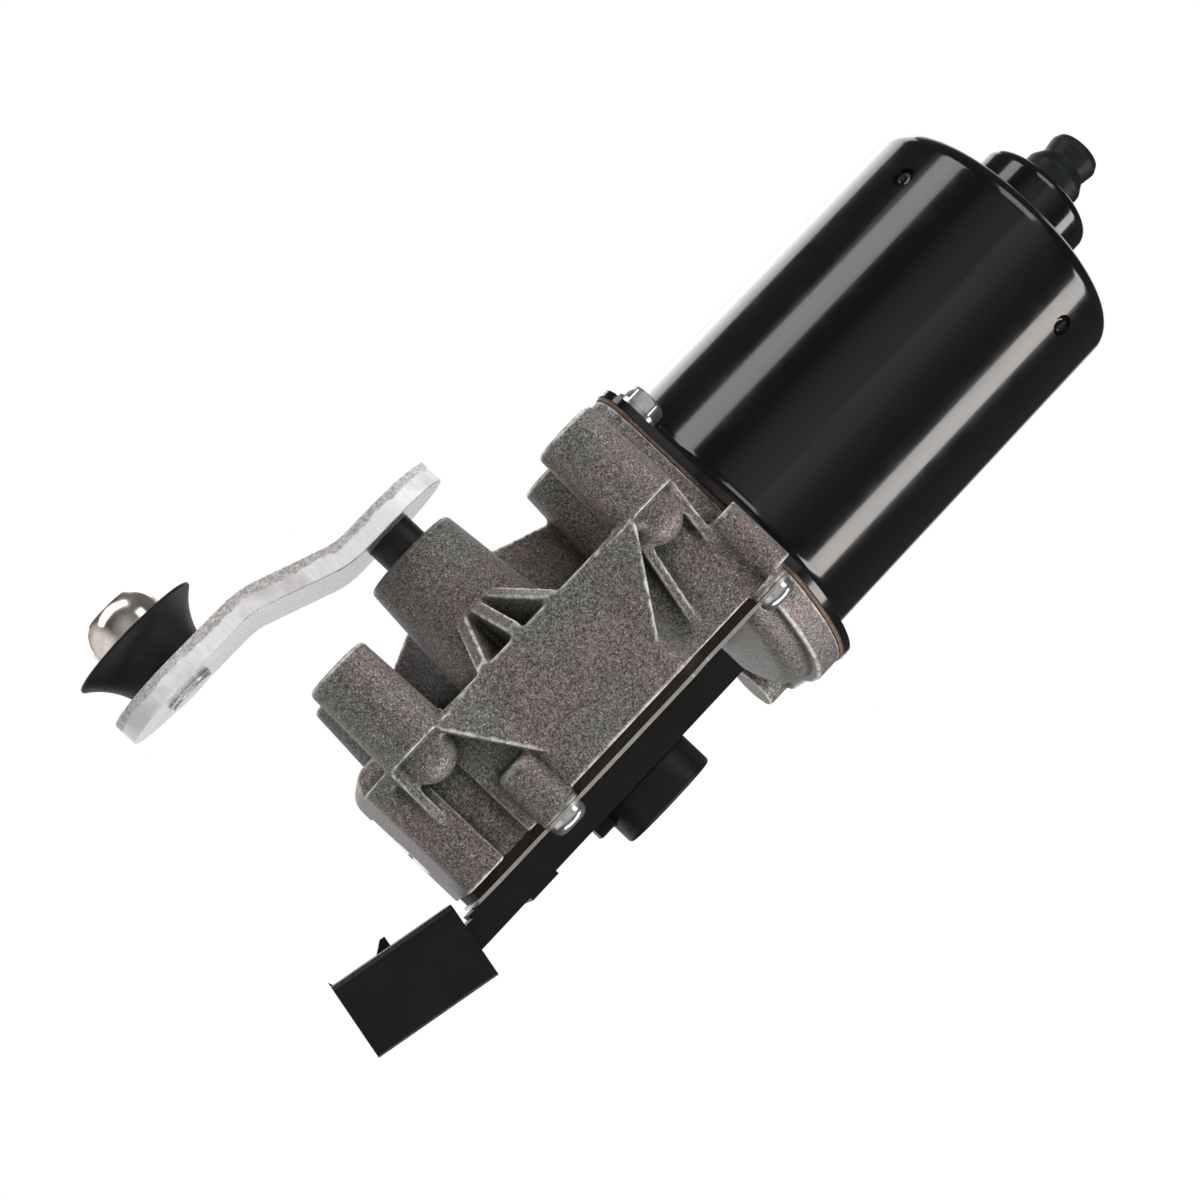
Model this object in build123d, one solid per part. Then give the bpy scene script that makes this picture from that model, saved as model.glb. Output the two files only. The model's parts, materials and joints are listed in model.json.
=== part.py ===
from build123d import *
import os
from math import asin, cos, degrees, hypot, pi, radians, sin, sqrt, tan

# A windscreen wiper motor: a worm-gear box die-cast in aluminium, a pressed steel motor can bolted to it,
# and a cranked arm with a ball stud on the output shaft.
# Millimetres. The origin is the centre of the four mounting holes, in the plane of the boss faces.
# +Z runs along the output shaft towards the crank arm, +X along the motor towards the can's closed end.

CUT = 1.0  # how far a cutting shape runs past the face it cuts
MERGE = 0.5  # how far one part of a piece runs into the next

# ---------------------------------------------------------------- driving sizes: mounting and main axes
BOSS_SPACING_X = 59.4
BOSS_SPACING_Y = 47.0
SHAFT_X = -3.0  # output shaft axis, from the centre of the mounting holes
MOTOR_AXIS_DEPTH = 32.5  # motor axis below the boss faces
FLANGE_X = 44.2  # joint plane between the can and the gearbox

# worm drive
MODULE = 0.9
WHEEL_TEETH = 48
WORM_PITCH_D = 9.6
WORM_LENGTH = 26.0
TOOTH_SLACK = 0.16  # taken off each flank of wheel and worm together
WHEEL_FACE = 8.0
WHEEL_WEB = 3.2
WHEEL_HUB_R = 10.0
WHEEL_HUB_LENGTH = 13.0
WHEEL_RIM = 3.4

# gearbox casting
CASE_ABOVE_AXIS = 13.2
CASE_BELOW_AXIS = 12.7
CASE_WALL = 3.0
WHEEL_CLEARANCE = 1.4
WORM_CLEARANCE = 1.4
TUNNEL_WALL = 5.4
CASE_LEFT = 39.3  # from the output shaft to the casting's end wall
CASE_RIGHT = 36.5
NEAR_FLAT_LEFT = 11.3
NEAR_FLAT_RIGHT = 16.2
RECESS_DEPTH = 7.0
NEAR_SLOPE_RIGHT = 4.8  # runs of the sloping walls beside the near flat
NEAR_SLOPE_LEFT = 12.6
POCKET_LEFT = 3.6  # a shallow pocket in the near wall, from the fin to the slope
POCKET_INSET = 1.4
POCKET_DROP = 6.0
SOFT_CORNER_R = 3.0
EDGE_R = 1.2
END_CORNER_R = 5.5
END_BLOCK_RISE = 4.3
END_BLOCK_LENGTH = 22.0
END_BLOCK_EDGE_R = 4.6
END_BLOCK_NEAR = 12.0

# output tower
TOWER_TOP = 6.6
TOWER_TOP_R = 10.1
TOWER_FOOT_R = 12.5
TOWER_EDGE_R = 1.2
RIB_ANGLE = 18.5
RIB_WIDTH = 2.6
RIB_TOP = -8.6  # where the ribs leave the tower
WEB_WIDTH = 5.0
WEB_TOP = -2.4
WEB_TOP_AT_BOSS = -7.6
WEB_BACK_AT_TOWER = 7.0  # the webs run behind the tower and along the outer side of the bosses
WEB_INSET_AT_BOSS = 6.2
WEB_BACK_AT_BOSS = 4.0

# mounting bosses
BOSS_TOP_R = 6.7
BOSS_FOOT_R = 7.3
FAR_BOSS_TOP_R = 5.6
FAR_BOSS_FOOT_R = 7.0
BOSS_EDGE = 0.8
BOSS_FOOT = 1.0  # how far the bosses reach below the roof's face
BOSS_HOLE_R = 2.5
BOSS_HOLE_DEPTH = 18.0
STUB_R = 5.2
STUB_LENGTH = 2.4
GUSSET = 2.0
GUSSET_TURN = 13.0
GUSSET_DROP = 6.2
LONG_FIN_DROP = 10.5
LONG_FIN_LEAN = 11.0  # degrees
RIGHT_FIN_DROP = 3.0
RIGHT_FIN_LEAN = 6.0
LEFT_FIN_DROP = 1.0
LONG_FIN_START = 5.4  # where the fins leave the bosses, below the roof
SHORT_FIN_START = 1.8

# motor can
CAN_R = 30.0
CAN_WALL = 1.6
CAN_LENGTH = 86.0
CAN_SHOULDER_R = 4.5
CAN_FOOT_R = 3.0
POCKET_R = 13.2
POCKET_LENGTH = 12.4
POCKET_EDGE_R = 2.9
DIMPLE_X = 74.0
DIMPLE_R = 2.2

# joint flange between can and casting
FLANGE_LAND = 5.0  # flange beyond the can all round, less at the flat sides
FLANGE_SIDE_LAND = 1.0
FLANGE_GASKET = 0.8
FLANGE_GASKET_INSET = 0.3
LUG_R = 7.0
LUG_SIDE_INSET = 5.8  # bolt centres inside the can's radius, sideways and upwards
LUG_RISE_INSET = 3.0
LUG_POST_R = 5.2
CUP_DEPTH = 12.0
CUP_FLOOR = 4.0
CUP_EDGE_R = 5.0
CUP_RIM = 6.0
CUP_STEP = 3.0  # the cup is this much smaller than its rim all round
RIM_DRAFT = 0.5
CUP_BORE_INSET = 0.9
MOTOR_BOLT_R = 2.1
MOTOR_BOLT_LENGTH = 12.0
TAP_CLEARANCE = 0.5  # tapped holes are this much deeper than their screws
BOLT_HEX = 8.0
BOLT_HEAD = 4.6
BOLT_ROUND_R = 4.45  # the round blank that the hexagon's corners are cut from
BOLT_CHAMFER = 0.7
BOLT_WASHER_R = 4.9
BOLT_WASHER = 1.4
BOLT_CLEARANCE = 0.5

# output shaft and crank
SHAFT_R = 5.0
RUNNING_CLEARANCE = 0.03
BUSH_WALL = 2.0
BUSH_LENGTH = 9.0
ARM_THICKNESS = 5.0
ARM_GAP = 5.0  # bare shaft between the tower and the arm
ARM_END_R = 14.2
CRANK_RADIUS = 46.3
ARM_RISE = 6.8
ARM_BEND_START = 10.0
ARM_BEND_END = 28.4
ARM_BEND_R = 15.0
SHAFT_TAPER_R = 4.2
BALL_R = 7.9
BALL_HEIGHT = 10.8
BALL_FLAT = 5.2
BALL_NECK_R = 4.6
BALL_FOOT_R = 7.0
BALL_FOOT = 1.6
RIVET_R = 5.2
RIVET_HEIGHT = 1.1
BALL_SHANK_R = 4.0
BOOT_FOOT_R = 8.4
BOOT_MID_R = 10.2
BOOT_RIM_R = 14.0
BOOT_HEIGHT = 9.0
BOOT_LIP = 0.5
BOOT_WALL = 1.3
BOOT_SEAT = 0.6

# cover and its fasteners
COVER_THICKNESS = 0.7
COVER_GASKET = 1.8
CUP_GAP = 0.4
GASKET_INSET = 0.8
GASKET_WIDTH = 2.2
SCREW_R = 1.7
SCREW_HEAD_R = 3.8
SCREW_HEAD = 2.5
SCREW_HEAD_EDGE_R = 1.8
SCREW_LENGTH = 10.0
CROSS_LENGTH = 4.0
CROSS_WIDTH = 0.9
CROSS_DEPTH = 1.3
COLUMN_R = 4.3
COLUMN_TOP_RIGHT = 14.2
COLUMN_TOP_LEFT = 10.6
COLUMN_EDGE_R = 1.6
SHELF_DEPTH = 18.0
SHELF_PAD_R = 3.8
SHELF_PAD_INSET = 1.8
RIGHT_COLUMN_REACH = 39.0
RIGHT_COLUMN_INSET = 9.2
NEAR_COLUMN_REACH = 17.6
NEAR_COLUMN_INSET = 3.6
FAR_COLUMN_INSET = 6.2
FAR_COLUMN_STANDOFF = 0.8
MIDDLE_COLUMN_REACH = 2.0
END_COLUMN_INSET = 5.0
END_COLUMN_REACH = 11.0

# contact carrier, park switch and connector
CARRIER_WIDTH = 24.0
CARRIER_DEPTH = 6.0
CARRIER_WALL = 1.6
CARRIER_RIGHT = 25.8
CARRIER_LEFT = 41.6
CAP_R = 10.6
CAP_HEIGHT = 7.2
CAP_WALL = 1.4
CAP_EDGE_R = 0.8
CLIP_REACH = 3.4
CLIP_WIDTH = 5.0
CLIP_HEIGHT = 2.6
ROTOR_R = 8.4
ROTOR_THICKNESS = 3.0
CONTACT_SHEET = 0.5
CONTACT_GAP = 0.1
FINGER_CLEARANCE = 0.5
FINGER_LEAN = 0.8
FINGER_FOOT = 1.8
FINGER_LAP = 6.0  # lies on its terminal for this length
SOCKET_LENGTH = 26.0
SOCKET_WIDTH = 28.0
SOCKET_HEIGHT = 15.3
SOCKET_WALL = 1.8
SOCKET_TILT = 12.2
TERMINAL_COUNT = 5
TERMINAL_PITCH = 4.4
TERMINAL_LENGTH = 10.5
TERMINAL_WIDTH = 1.6
TERMINAL_THICKNESS = 0.8
TERMINAL_OVERLAP = 16.0
TERMINAL_BEND = 3.0  # the blades turn level this far behind the socket
SOCKET_DEPTH = 19.0
SOCKET_REACH = 28.0
SOCKET_DROP = 1.8
SOCKET_EDGE_R = 1.6
SOCKET_CHAMFER = 0.4
LATCH_START = 9.6
LATCH_TIP = 12.2
LATCH_END = 13.2
LATCH_RISE = 2.0
LATCH_WIDTH = 5.0
LIP = 0.9
NECK_LENGTH = 7.0
NECK_STEP = 0.9
LEDGE_START = 9.8
LEDGE_END = 16.6
LEDGE_RISE = 0.7

# armature and field
ARMATURE_SHAFT_R = 3.5
AIR_GAP = 1.6
STACK_START = 29.0
STACK_LENGTH = 38.0
SLOT_COUNT = 10
SLOT_MOUTH = 2.2
SLOT_DEPTH = 9.5
TOOTH_TIP = 1.8
END_TURN = 7.5
END_TURN_INSET = 2.5
COMMUTATOR_R = 11.0
COMMUTATOR_WALL = 3.2
COMMUTATOR_LENGTH = 13.0
SEGMENT_GAP = 0.6
BRUSH_PLATE = 2.2
BRUSH_GAP = 4.0
BRUSH_LENGTH = 8.0
BRUSH_WIDTH = 6.0
BRUSH_REACH = 9.0
BRUSH_CLEARANCE = 0.06
SPRING_R = 2.1
SPRING_WIRE_R = 0.3
SPRING_TURNS = 4
HOLDER_WALL = 0.8
HOLDER_INSET = 2.0
MAGNET_THICKNESS = 5.8
MAGNET_LENGTH = 46.0
MAGNET_ARC = 128.0
BEARING_R = 9.5
BEARING_WIDTH = 6.0
BEARING_RING = 1.7
BEARING_BALLS = 8
JOURNAL_R = 3.0
END_BUSH_R = 5.5
END_BUSH_LENGTH = 8.0
ADJUSTER_R = 5.0
ADJUSTER_LENGTH = 7.0
REAR_BUSH_R = 7.5
REAR_BUSH_LENGTH = 10.0
AXIAL_CLEARANCE = 0.1
THRUST_WASHER = 1.0
SEAL_DEPTH = 3.4
ROTOR_CLEARANCE = 0.6
SPINDLE_R = 3.0
NOZZLE_BASE_R = 6.55
NOZZLE_BASE = 4.6
NOZZLE_NECK_R = 5.1
NOZZLE_NECK = 7.1
NOZZLE_HEAD_R = 5.6
NOZZLE_HEAD = 10.4
NOZZLE_LENGTH = 12.1
NOZZLE_BORE_R = 2.0
NOZZLE_WALL = 1.5
NOZZLE_LIP = 0.8

# ---------------------------------------------------------------- values worked out from them
ARC_MIDDLE = 1 - sqrt(0.5)  # how far in the middle of a quarter-round edge lies, from each side
WORM_R = WORM_PITCH_D / 2
WHEEL_R = MODULE * WHEEL_TEETH / 2
WORM_TIP_R = WORM_R + MODULE
WORM_ROOT_R = WORM_R - 1.2 * MODULE
WHEEL_TIP_R = WHEEL_R + MODULE
WHEEL_ROOT_R = WHEEL_R - 1.25 * MODULE
LEAD = pi * MODULE
CAN_BORE_R = CAN_R - CAN_WALL
FLANGE_R = CAN_R + FLANGE_LAND
FLANGE_HALF_WIDTH = CAN_R + FLANGE_SIDE_LAND
LUG_SIDE = CAN_R - LUG_SIDE_INSET
LUG_RISE = CAN_R - LUG_RISE_INSET
CUP_BORE_R = CAN_BORE_R - CUP_BORE_INSET
HOLDER_END_R = CUP_BORE_R - HOLDER_INSET
ARMATURE_R = CAN_BORE_R - MAGNET_THICKNESS - AIR_GAP
END_TURN_R = ARMATURE_R - END_TURN_INSET
MOTOR_Y = WORM_R + WHEEL_R
MOTOR_Z = -MOTOR_AXIS_DEPTH
CHAMBER_R = WHEEL_TIP_R + WHEEL_CLEARANCE
NEAR_Y = -(CHAMBER_R + CASE_WALL)
RECESS_Y = NEAR_Y + RECESS_DEPTH
ROOF_Z = MOTOR_Z + CASE_ABOVE_AXIS
CEILING_Z = ROOF_Z - CASE_WALL
SEAT_Z = MOTOR_Z - CASE_BELOW_AXIS
COVER_Z = SEAT_Z - COVER_GASKET
COVER_UNDER_Z = COVER_Z - COVER_THICKNESS
WORM_BORE_R = WORM_TIP_R + WORM_CLEARANCE
TUNNEL_R = WORM_BORE_R + TUNNEL_WALL
FAR_Y = MOTOR_Y + TUNNEL_R
LEFT_X = SHAFT_X - CASE_LEFT
RIGHT_X = SHAFT_X + CASE_RIGHT
BUSH_R = SHAFT_R + BUSH_WALL
ARM_Z = TOWER_TOP + ARM_GAP
ARM_TOP_Z = ARM_Z + ARM_THICKNESS
BALL_X = SHAFT_X - CRANK_RADIUS
BALL_SEAT_Z = ARM_TOP_Z + ARM_RISE
BALL_Z = BALL_SEAT_Z + BALL_HEIGHT
CAN_END_X = FLANGE_X + CAN_LENGTH
POCKET_X = CAN_END_X + POCKET_LENGTH
CUP_MOUTH_X = FLANGE_X - FLANGE_GASKET
CUP_BACK_X = FLANGE_X - CUP_DEPTH
BOLT_END_X = FLANGE_X + CAN_WALL - MOTOR_BOLT_LENGTH
CARRIER_Z = COVER_UNDER_Z - CARRIER_DEPTH
CAP_Z = CARRIER_Z - CAP_HEIGHT
COLUMN_SPOTS = [
    (SHAFT_X + RIGHT_COLUMN_REACH, NEAR_Y + RIGHT_COLUMN_INSET, SEAT_Z + COLUMN_TOP_RIGHT),
    (SHAFT_X - NEAR_COLUMN_REACH, NEAR_Y + NEAR_COLUMN_INSET, SEAT_Z + COLUMN_TOP_LEFT),
    (CUP_BACK_X - FAR_COLUMN_INSET, FAR_Y + FAR_COLUMN_STANDOFF, SEAT_Z + COLUMN_TOP_LEFT),
    (SHAFT_X + MIDDLE_COLUMN_REACH, FAR_Y + FAR_COLUMN_STANDOFF, SEAT_Z + COLUMN_TOP_LEFT),
    (LEFT_X + END_COLUMN_REACH, FAR_Y - END_COLUMN_INSET, SEAT_Z + COLUMN_TOP_LEFT),
]
BOSS_SPOTS = [(sx * BOSS_SPACING_X / 2, sy * BOSS_SPACING_Y / 2) for sx in (-1, 1) for sy in (-1, 1)]
BOLT_SPOTS = [(MOTOR_Y - LUG_SIDE, MOTOR_Z + LUG_RISE), (MOTOR_Y + LUG_SIDE, MOTOR_Z - LUG_RISE)]
SEAL_SEAT_R = BUSH_R + 1.0
END_BUSH_X = LEFT_X + ADJUSTER_LENGTH
END_BUSH_END_X = END_BUSH_X + END_BUSH_LENGTH
CUP_FLOOR_X = CUP_BACK_X + CUP_FLOOR
BEARING_X = CUP_FLOOR_X - BEARING_WIDTH
WORM_START_X = SHAFT_X - WORM_LENGTH / 2
WORM_END_X = SHAFT_X + WORM_LENGTH / 2
JOURNAL_END_X = END_BUSH_X + AXIAL_CLEARANCE
STACK_X = FLANGE_X + STACK_START
STACK_END_X = STACK_X + STACK_LENGTH
MAGNET_END_X = FLANGE_X + DIMPLE_X - DIMPLE_R
BRUSH_PLATE_X = CUP_FLOOR_X + BRUSH_PLATE
BRUSH_X = BRUSH_PLATE_X + BRUSH_GAP
COMMUTATOR_X = BRUSH_X - 1.5
COMMUTATOR_END_X = COMMUTATOR_X + COMMUTATOR_LENGTH
REAR_BUSH_X = POCKET_X - CAN_WALL - REAR_BUSH_LENGTH
WHEEL_TOP_Z = MOTOR_Z + WHEEL_FACE / 2
WHEEL_UNDER_Z = MOTOR_Z - WHEEL_FACE / 2
HUB_TOP_Z = CEILING_Z - THRUST_WASHER - AXIAL_CLEARANCE
HUB_UNDER_Z = HUB_TOP_Z - WHEEL_HUB_LENGTH
ROTOR_Z = CAP_Z + CAP_WALL + ROTOR_CLEARANCE
ROTOR_TOP_Z = ROTOR_Z + ROTOR_THICKNESS
RING_TOP_Z = ROTOR_TOP_Z + CONTACT_SHEET
TRAY_Z = CARRIER_Z + CARRIER_WALL
CARRIER_LEFT_X = SHAFT_X - CARRIER_LEFT
SOCKET_X = CARRIER_LEFT_X - SOCKET_REACH
SOCKET_Z = COVER_UNDER_Z + SOCKET_DROP
BALL_SIZE_R = (BEARING_R - ARMATURE_SHAFT_R) / 2 - 1.1
BALL_TRACK_R = (BEARING_R + ARMATURE_SHAFT_R) / 2


# ---------------------------------------------------------------- small helpers
def rod_z(x, y, radius, low, high):
    return Pos(x, y, (low + high) / 2) * Cylinder(radius, high - low)


def cone_z(x, y, low_radius, high_radius, low, high):
    return Pos(x, y, (low + high) / 2) * Cone(low_radius, high_radius, high - low)


def rod_x(radius, start, end, y=MOTOR_Y, z=MOTOR_Z):
    return Pos((start + end) / 2, y, z) * Rot(0, 90, 0) * Cylinder(radius, end - start)


def block(low_x, high_x, low_y, high_y, low_z, high_z):
    centre = Pos((low_x + high_x) / 2, (low_y + high_y) / 2, (low_z + high_z) / 2)
    return centre * Box(high_x - low_x, high_y - low_y, high_z - low_z)


def slab(points, low, high, radius=0.0):
    """A closed outline in plan, raised from low to high. Its corners share one radius, or have one each."""
    radii = radius if isinstance(radius, list) else [radius] * len(points)
    face = make_face(Polyline(*points, close=True))
    for size in set(radii) - {0.0}:
        spots = [point for point, point_radius in zip(points, radii) if point_radius == size]
        corners = [v for v in face.vertices() if any(hypot(v.X - x, v.Y - y) < 0.001 for x, y in spots)]
        face = fillet(corners, size)
    return Pos(0, 0, low) * extrude(face, high - low)


def side_plate(points, low_y, high_y):
    """A closed outline of (x, z) points, thick from low_y to high_y."""
    face = Plane.XZ * make_face(Polyline(*points, close=True))
    return Pos(0, high_y, 0) * extrude(face, high_y - low_y)


def end_plate(points, start, end):
    """A closed outline of (y, z) points, thick from x = start to x = end."""
    face = Plane.YZ * make_face(Polyline(*points, close=True))
    return Pos(start, 0, 0) * extrude(face, end - start)


def turned_x(*lines):
    """A solid of revolution about the motor axis, from lines through (x, radius) points."""
    return Pos(0, MOTOR_Y, MOTOR_Z) * revolve(make_face(Curve() + list(lines)), Axis.X)


def turned_z(x, y, *lines):
    """A solid of revolution about a vertical axis, from lines through (radius, z) points."""
    return Pos(x, y, 0) * revolve(Plane.XZ * make_face(Curve() + list(lines)), Axis.Z)


def group(shapes):
    return Compound([solid for shape in shapes for solid in shape.solids()])


def save(name, shape):
    solids = shape.solids()
    export_step(solids[0] if len(solids) == 1 else Compound(solids), f"parts/{name}.step")


# ---------------------------------------------------------------- gearbox casting
def case_outline():
    """Corner points of the casting's walls in plan, and the radius of each corner."""
    left, right = LEFT_X, RIGHT_X
    near_left, near_right = SHAFT_X - NEAR_FLAT_LEFT, SHAFT_X + NEAR_FLAT_RIGHT
    points = [
        (near_left, NEAR_Y),
        (near_right, NEAR_Y),
        (near_right + NEAR_SLOPE_RIGHT, RECESS_Y),
        (right, RECESS_Y),
        (right, MOTOR_Y),
        (left, MOTOR_Y),
        (left, RECESS_Y),
        (near_left - NEAR_SLOPE_LEFT, RECESS_Y),
    ]
    soft = SOFT_CORNER_R
    return points, [soft, soft, soft, EDGE_R, EDGE_R, EDGE_R, END_CORNER_R, soft]


def roof_outline():
    """Corner points of the roof, which reaches out under the two near bosses."""
    near = -BOSS_SPACING_Y / 2
    edge = BOSS_SPACING_X / 2
    tip = near - STUB_R
    side = edge + BOSS_FOOT_R - MERGE
    return [
        (SHAFT_X - NEAR_FLAT_LEFT, NEAR_Y),
        (SHAFT_X + NEAR_FLAT_RIGHT, NEAR_Y),
        (edge, tip),
        (side, near),
        (side, RECESS_Y),
        (RIGHT_X, MOTOR_Y),
        (LEFT_X, MOTOR_Y),
        (LEFT_X, RECESS_Y + END_CORNER_R),
        (-side, near),
        (-edge, tip),
    ]


def near_pocket():
    left = -BOSS_SPACING_X / 2 - POCKET_LEFT
    right = SHAFT_X - NEAR_FLAT_LEFT - NEAR_SLOPE_LEFT
    return block(left, right, RECESS_Y - CUT, RECESS_Y + POCKET_INSET, SEAT_Z - CUT, ROOF_Z - POCKET_DROP)


def far_wall():
    """The wall under the worm tunnel, which carries the cover along the far side."""
    far = FAR_Y - MERGE
    chamfer_size = TUNNEL_R / 2
    points = [
        (LEFT_X, MOTOR_Y - MERGE),
        (RIGHT_X, MOTOR_Y - MERGE),
        (RIGHT_X, far),
        (LEFT_X + chamfer_size, far),
        (LEFT_X, far - chamfer_size),
    ]
    return slab(points, SEAT_Z, MOTOR_Z, [0.0, 0.0, EDGE_R, EDGE_R, EDGE_R])


def case_body():
    points, radii = case_outline()
    body = slab(points, SEAT_Z, ROOF_Z, radii) - near_pocket()
    body += slab(roof_outline(), CEILING_Z, ROOF_Z, EDGE_R)
    body += rod_x(TUNNEL_R, LEFT_X + EDGE_R, RIGHT_X) + far_wall()
    near, far = RECESS_Y + END_BLOCK_NEAR, MOTOR_Y + TUNNEL_R / 2
    raised = block(LEFT_X, LEFT_X + END_BLOCK_LENGTH, near, far, CEILING_Z, ROOF_Z + END_BLOCK_RISE)
    top = raised.faces().sort_by(Axis.Z)[-1]
    return body + fillet(top.edges(), END_BLOCK_EDGE_R)


def screw_columns():
    columns = []
    for x, y, top in COLUMN_SPOTS[1:]:
        column = rod_z(x, y, COLUMN_R, COVER_Z, top)
        columns.append(fillet(column.edges().sort_by(Axis.Z)[-1], COLUMN_EDGE_R))
    return columns


def column_backs():
    """The walls that tie each screw column to the casting."""
    backs = []
    for x, y, top in COLUMN_SPOTS[1:]:
        inner = RECESS_Y + COLUMN_R if y < 0 else MOTOR_Y
        half = COLUMN_R - MERGE
        backs.append(block(x - half, x + half, min(y, inner), max(y, inner), SEAT_Z, top - COLUMN_EDGE_R))
    return backs


def tower():
    shape = cone_z(SHAFT_X, 0, TOWER_FOOT_R, TOWER_TOP_R, CEILING_Z, TOWER_TOP)
    shape = fillet(shape.edges().sort_by(Axis.Z)[-1], TOWER_EDGE_R)
    reach = CHAMBER_R + 2 * CASE_WALL
    rib = [(0, CEILING_Z), (0, RIB_TOP), (TOWER_TOP_R, RIB_TOP), (reach, ROOF_Z), (reach, CEILING_Z)]
    for turn in (-RIB_ANGLE, 0, RIB_ANGLE):
        plate = side_plate(rib, -RIB_WIDTH / 2, RIB_WIDTH / 2)
        plate = Pos(SHAFT_X, 0, 0) * Rot(0, 0, turn - 90) * plate
        shape += plate & block(LEFT_X, RIGHT_X, NEAR_Y, 0, CEILING_Z, RIB_TOP)
    for side in (-1, 1):
        shape += boss_web(side)
    return shape


def boss_web(side):
    """The tall plate that ties the tower to a far boss."""
    start_y = WEB_BACK_AT_TOWER
    end_x = side * (BOSS_SPACING_X / 2 - WEB_INSET_AT_BOSS)
    end_y = BOSS_SPACING_Y / 2 + WEB_BACK_AT_BOSS
    run = hypot(end_x - SHAFT_X, end_y - start_y)
    outline = [(0, CEILING_Z), (0, WEB_TOP), (TOWER_TOP_R, WEB_TOP), (run, WEB_TOP_AT_BOSS), (run, CEILING_Z)]
    turn = degrees(asin((end_y - start_y) / run))
    turn = turn if side > 0 else 180 - turn
    plate = side_plate(outline, -WEB_WIDTH / 2, WEB_WIDTH / 2)
    return Pos(SHAFT_X, start_y, 0) * Rot(0, 0, turn) * plate


def mounting_boss(x, y):
    foot_r, top_r = (BOSS_FOOT_R, BOSS_TOP_R) if y < 0 else (FAR_BOSS_FOOT_R, FAR_BOSS_TOP_R)
    low = ROOF_Z - BOSS_FOOT
    boss = cone_z(x, y, foot_r, top_r, low, 0)
    boss = fillet(boss.edges().sort_by(Axis.Z)[-1], BOSS_EDGE)
    stub_z = low - STUB_LENGTH
    stub = rod_z(x, y, STUB_R, stub_z, ROOF_Z)
    return boss + stub + Pos(x, y, stub_z) * Sphere(STUB_R)


def boss_gussets():
    """Sloping plates under the two near bosses, and the thin fins that carry them."""
    near = -BOSS_SPACING_Y / 2
    edge = BOSS_SPACING_X / 2
    plates = []
    for side, flat in ((1, NEAR_FLAT_RIGHT), (-1, NEAR_FLAT_LEFT)):
        corner = SHAFT_X + side * flat
        reach = edge - side * corner - STUB_R + EDGE_R
        top = ROOF_Z - EDGE_R / 2
        plate = [(-GUSSET, top), (reach, top), (reach, ROOF_Z - GUSSET), (0, MOTOR_Z - GUSSET_DROP)]
        plate = [(side * x, z) for x, z in plate]
        shape = side_plate(plate, 0, GUSSET)
        plates.append(Pos(corner, NEAR_Y, 0) * Rot(0, 0, -side * GUSSET_TURN) * shape)
    side = edge + BOSS_FOOT_R
    plates.append(fin(edge - STUB_R, near - GUSSET / 2, LONG_FIN_START, LONG_FIN_DROP, LONG_FIN_LEAN))
    plates.append(fin(side - GUSSET, near, SHORT_FIN_START, RIGHT_FIN_DROP, RIGHT_FIN_LEAN))
    plates.append(fin(-side, near - GUSSET, SHORT_FIN_START, LEFT_FIN_DROP, 0))
    return plates


def fin(x, near, start, drop, lean):
    """A thin upright plate from a boss back and down to the recessed wall. It may lean sideways as it drops."""
    top = ROOF_Z - EDGE_R
    low = MOTOR_Z - drop
    inner = RECESS_Y + GUSSET
    outline = [(near, top), (near, ROOF_Z - start), (RECESS_Y, low), (inner, low), (inner, top)]
    plate = end_plate(outline, 0, GUSSET)
    return Pos(x, 0, top) * Rot(0, lean, 0) * Pos(0, 0, -top) * plate


def flange_face(bore_radius, grow=0.0):
    """The joint flange seen along the motor: a disc with flat sides and two opposite bolt lugs."""
    half = FLANGE_HALF_WIDTH + grow
    disc = Circle(FLANGE_R + grow) & Rectangle(2 * half, 2 * (FLANGE_R + grow))
    top = LUG_RISE + LUG_R + grow
    corner = [(-half, 0), (0, 0), (0, top), (-LUG_SIDE, top), (-half, LUG_RISE)]
    opposite = [(-y, -z) for y, z in corner]
    face = disc + make_face(Polyline(*corner, close=True)) + make_face(Polyline(*opposite, close=True))
    for side in (-1, 1):
        face += Pos(side * LUG_SIDE, -side * LUG_RISE) * Circle(LUG_R + grow)
    return face - Circle(bore_radius)


def flange_slab(bore_radius, start, end, grow=0.0):
    face = Plane.YZ * flange_face(bore_radius, grow)
    return Pos(start, MOTOR_Y, MOTOR_Z) * extrude(face, end - start)


def motor_cup():
    """The bowl that holds the brush gear, with the thick rim that the can is bolted to."""
    rim_r = FLANGE_R - RIM_DRAFT
    bowl_r = FLANGE_R - CUP_STEP
    rim_x = CUP_MOUTH_X - CUP_RIM
    edge = CUP_EDGE_R
    bowl = turned_x(
        Polyline((CUP_BACK_X, 0), (CUP_BACK_X, bowl_r - edge)),
        ThreePointArc(
            (CUP_BACK_X, bowl_r - edge),
            (CUP_BACK_X + edge * ARC_MIDDLE, bowl_r - edge * ARC_MIDDLE),
            (CUP_BACK_X + edge, bowl_r),
        ),
        Polyline((CUP_BACK_X + edge, bowl_r), (rim_x, bowl_r), (rim_x + RIM_DRAFT, rim_r - RIM_DRAFT)),
        Polyline((rim_x + RIM_DRAFT, rim_r - RIM_DRAFT), (CUP_MOUTH_X, rim_r), (CUP_MOUTH_X, 0), (CUP_BACK_X, 0)),
    )
    half = FLANGE_HALF_WIDTH - RIM_DRAFT
    bowl &= block(CUP_BACK_X, CUP_MOUTH_X, MOTOR_Y - half, MOTOR_Y + half, MOTOR_Z - FLANGE_R, MOTOR_Z + FLANGE_R)
    cup = bowl + flange_slab(CUP_BORE_R, rim_x, CUP_MOUTH_X, -RIM_DRAFT)
    for y, z in BOLT_SPOTS:
        cup += rod_x(LUG_POST_R, CUP_BACK_X - CUP_GAP, CUP_MOUTH_X, y, z)
    return cup


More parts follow.
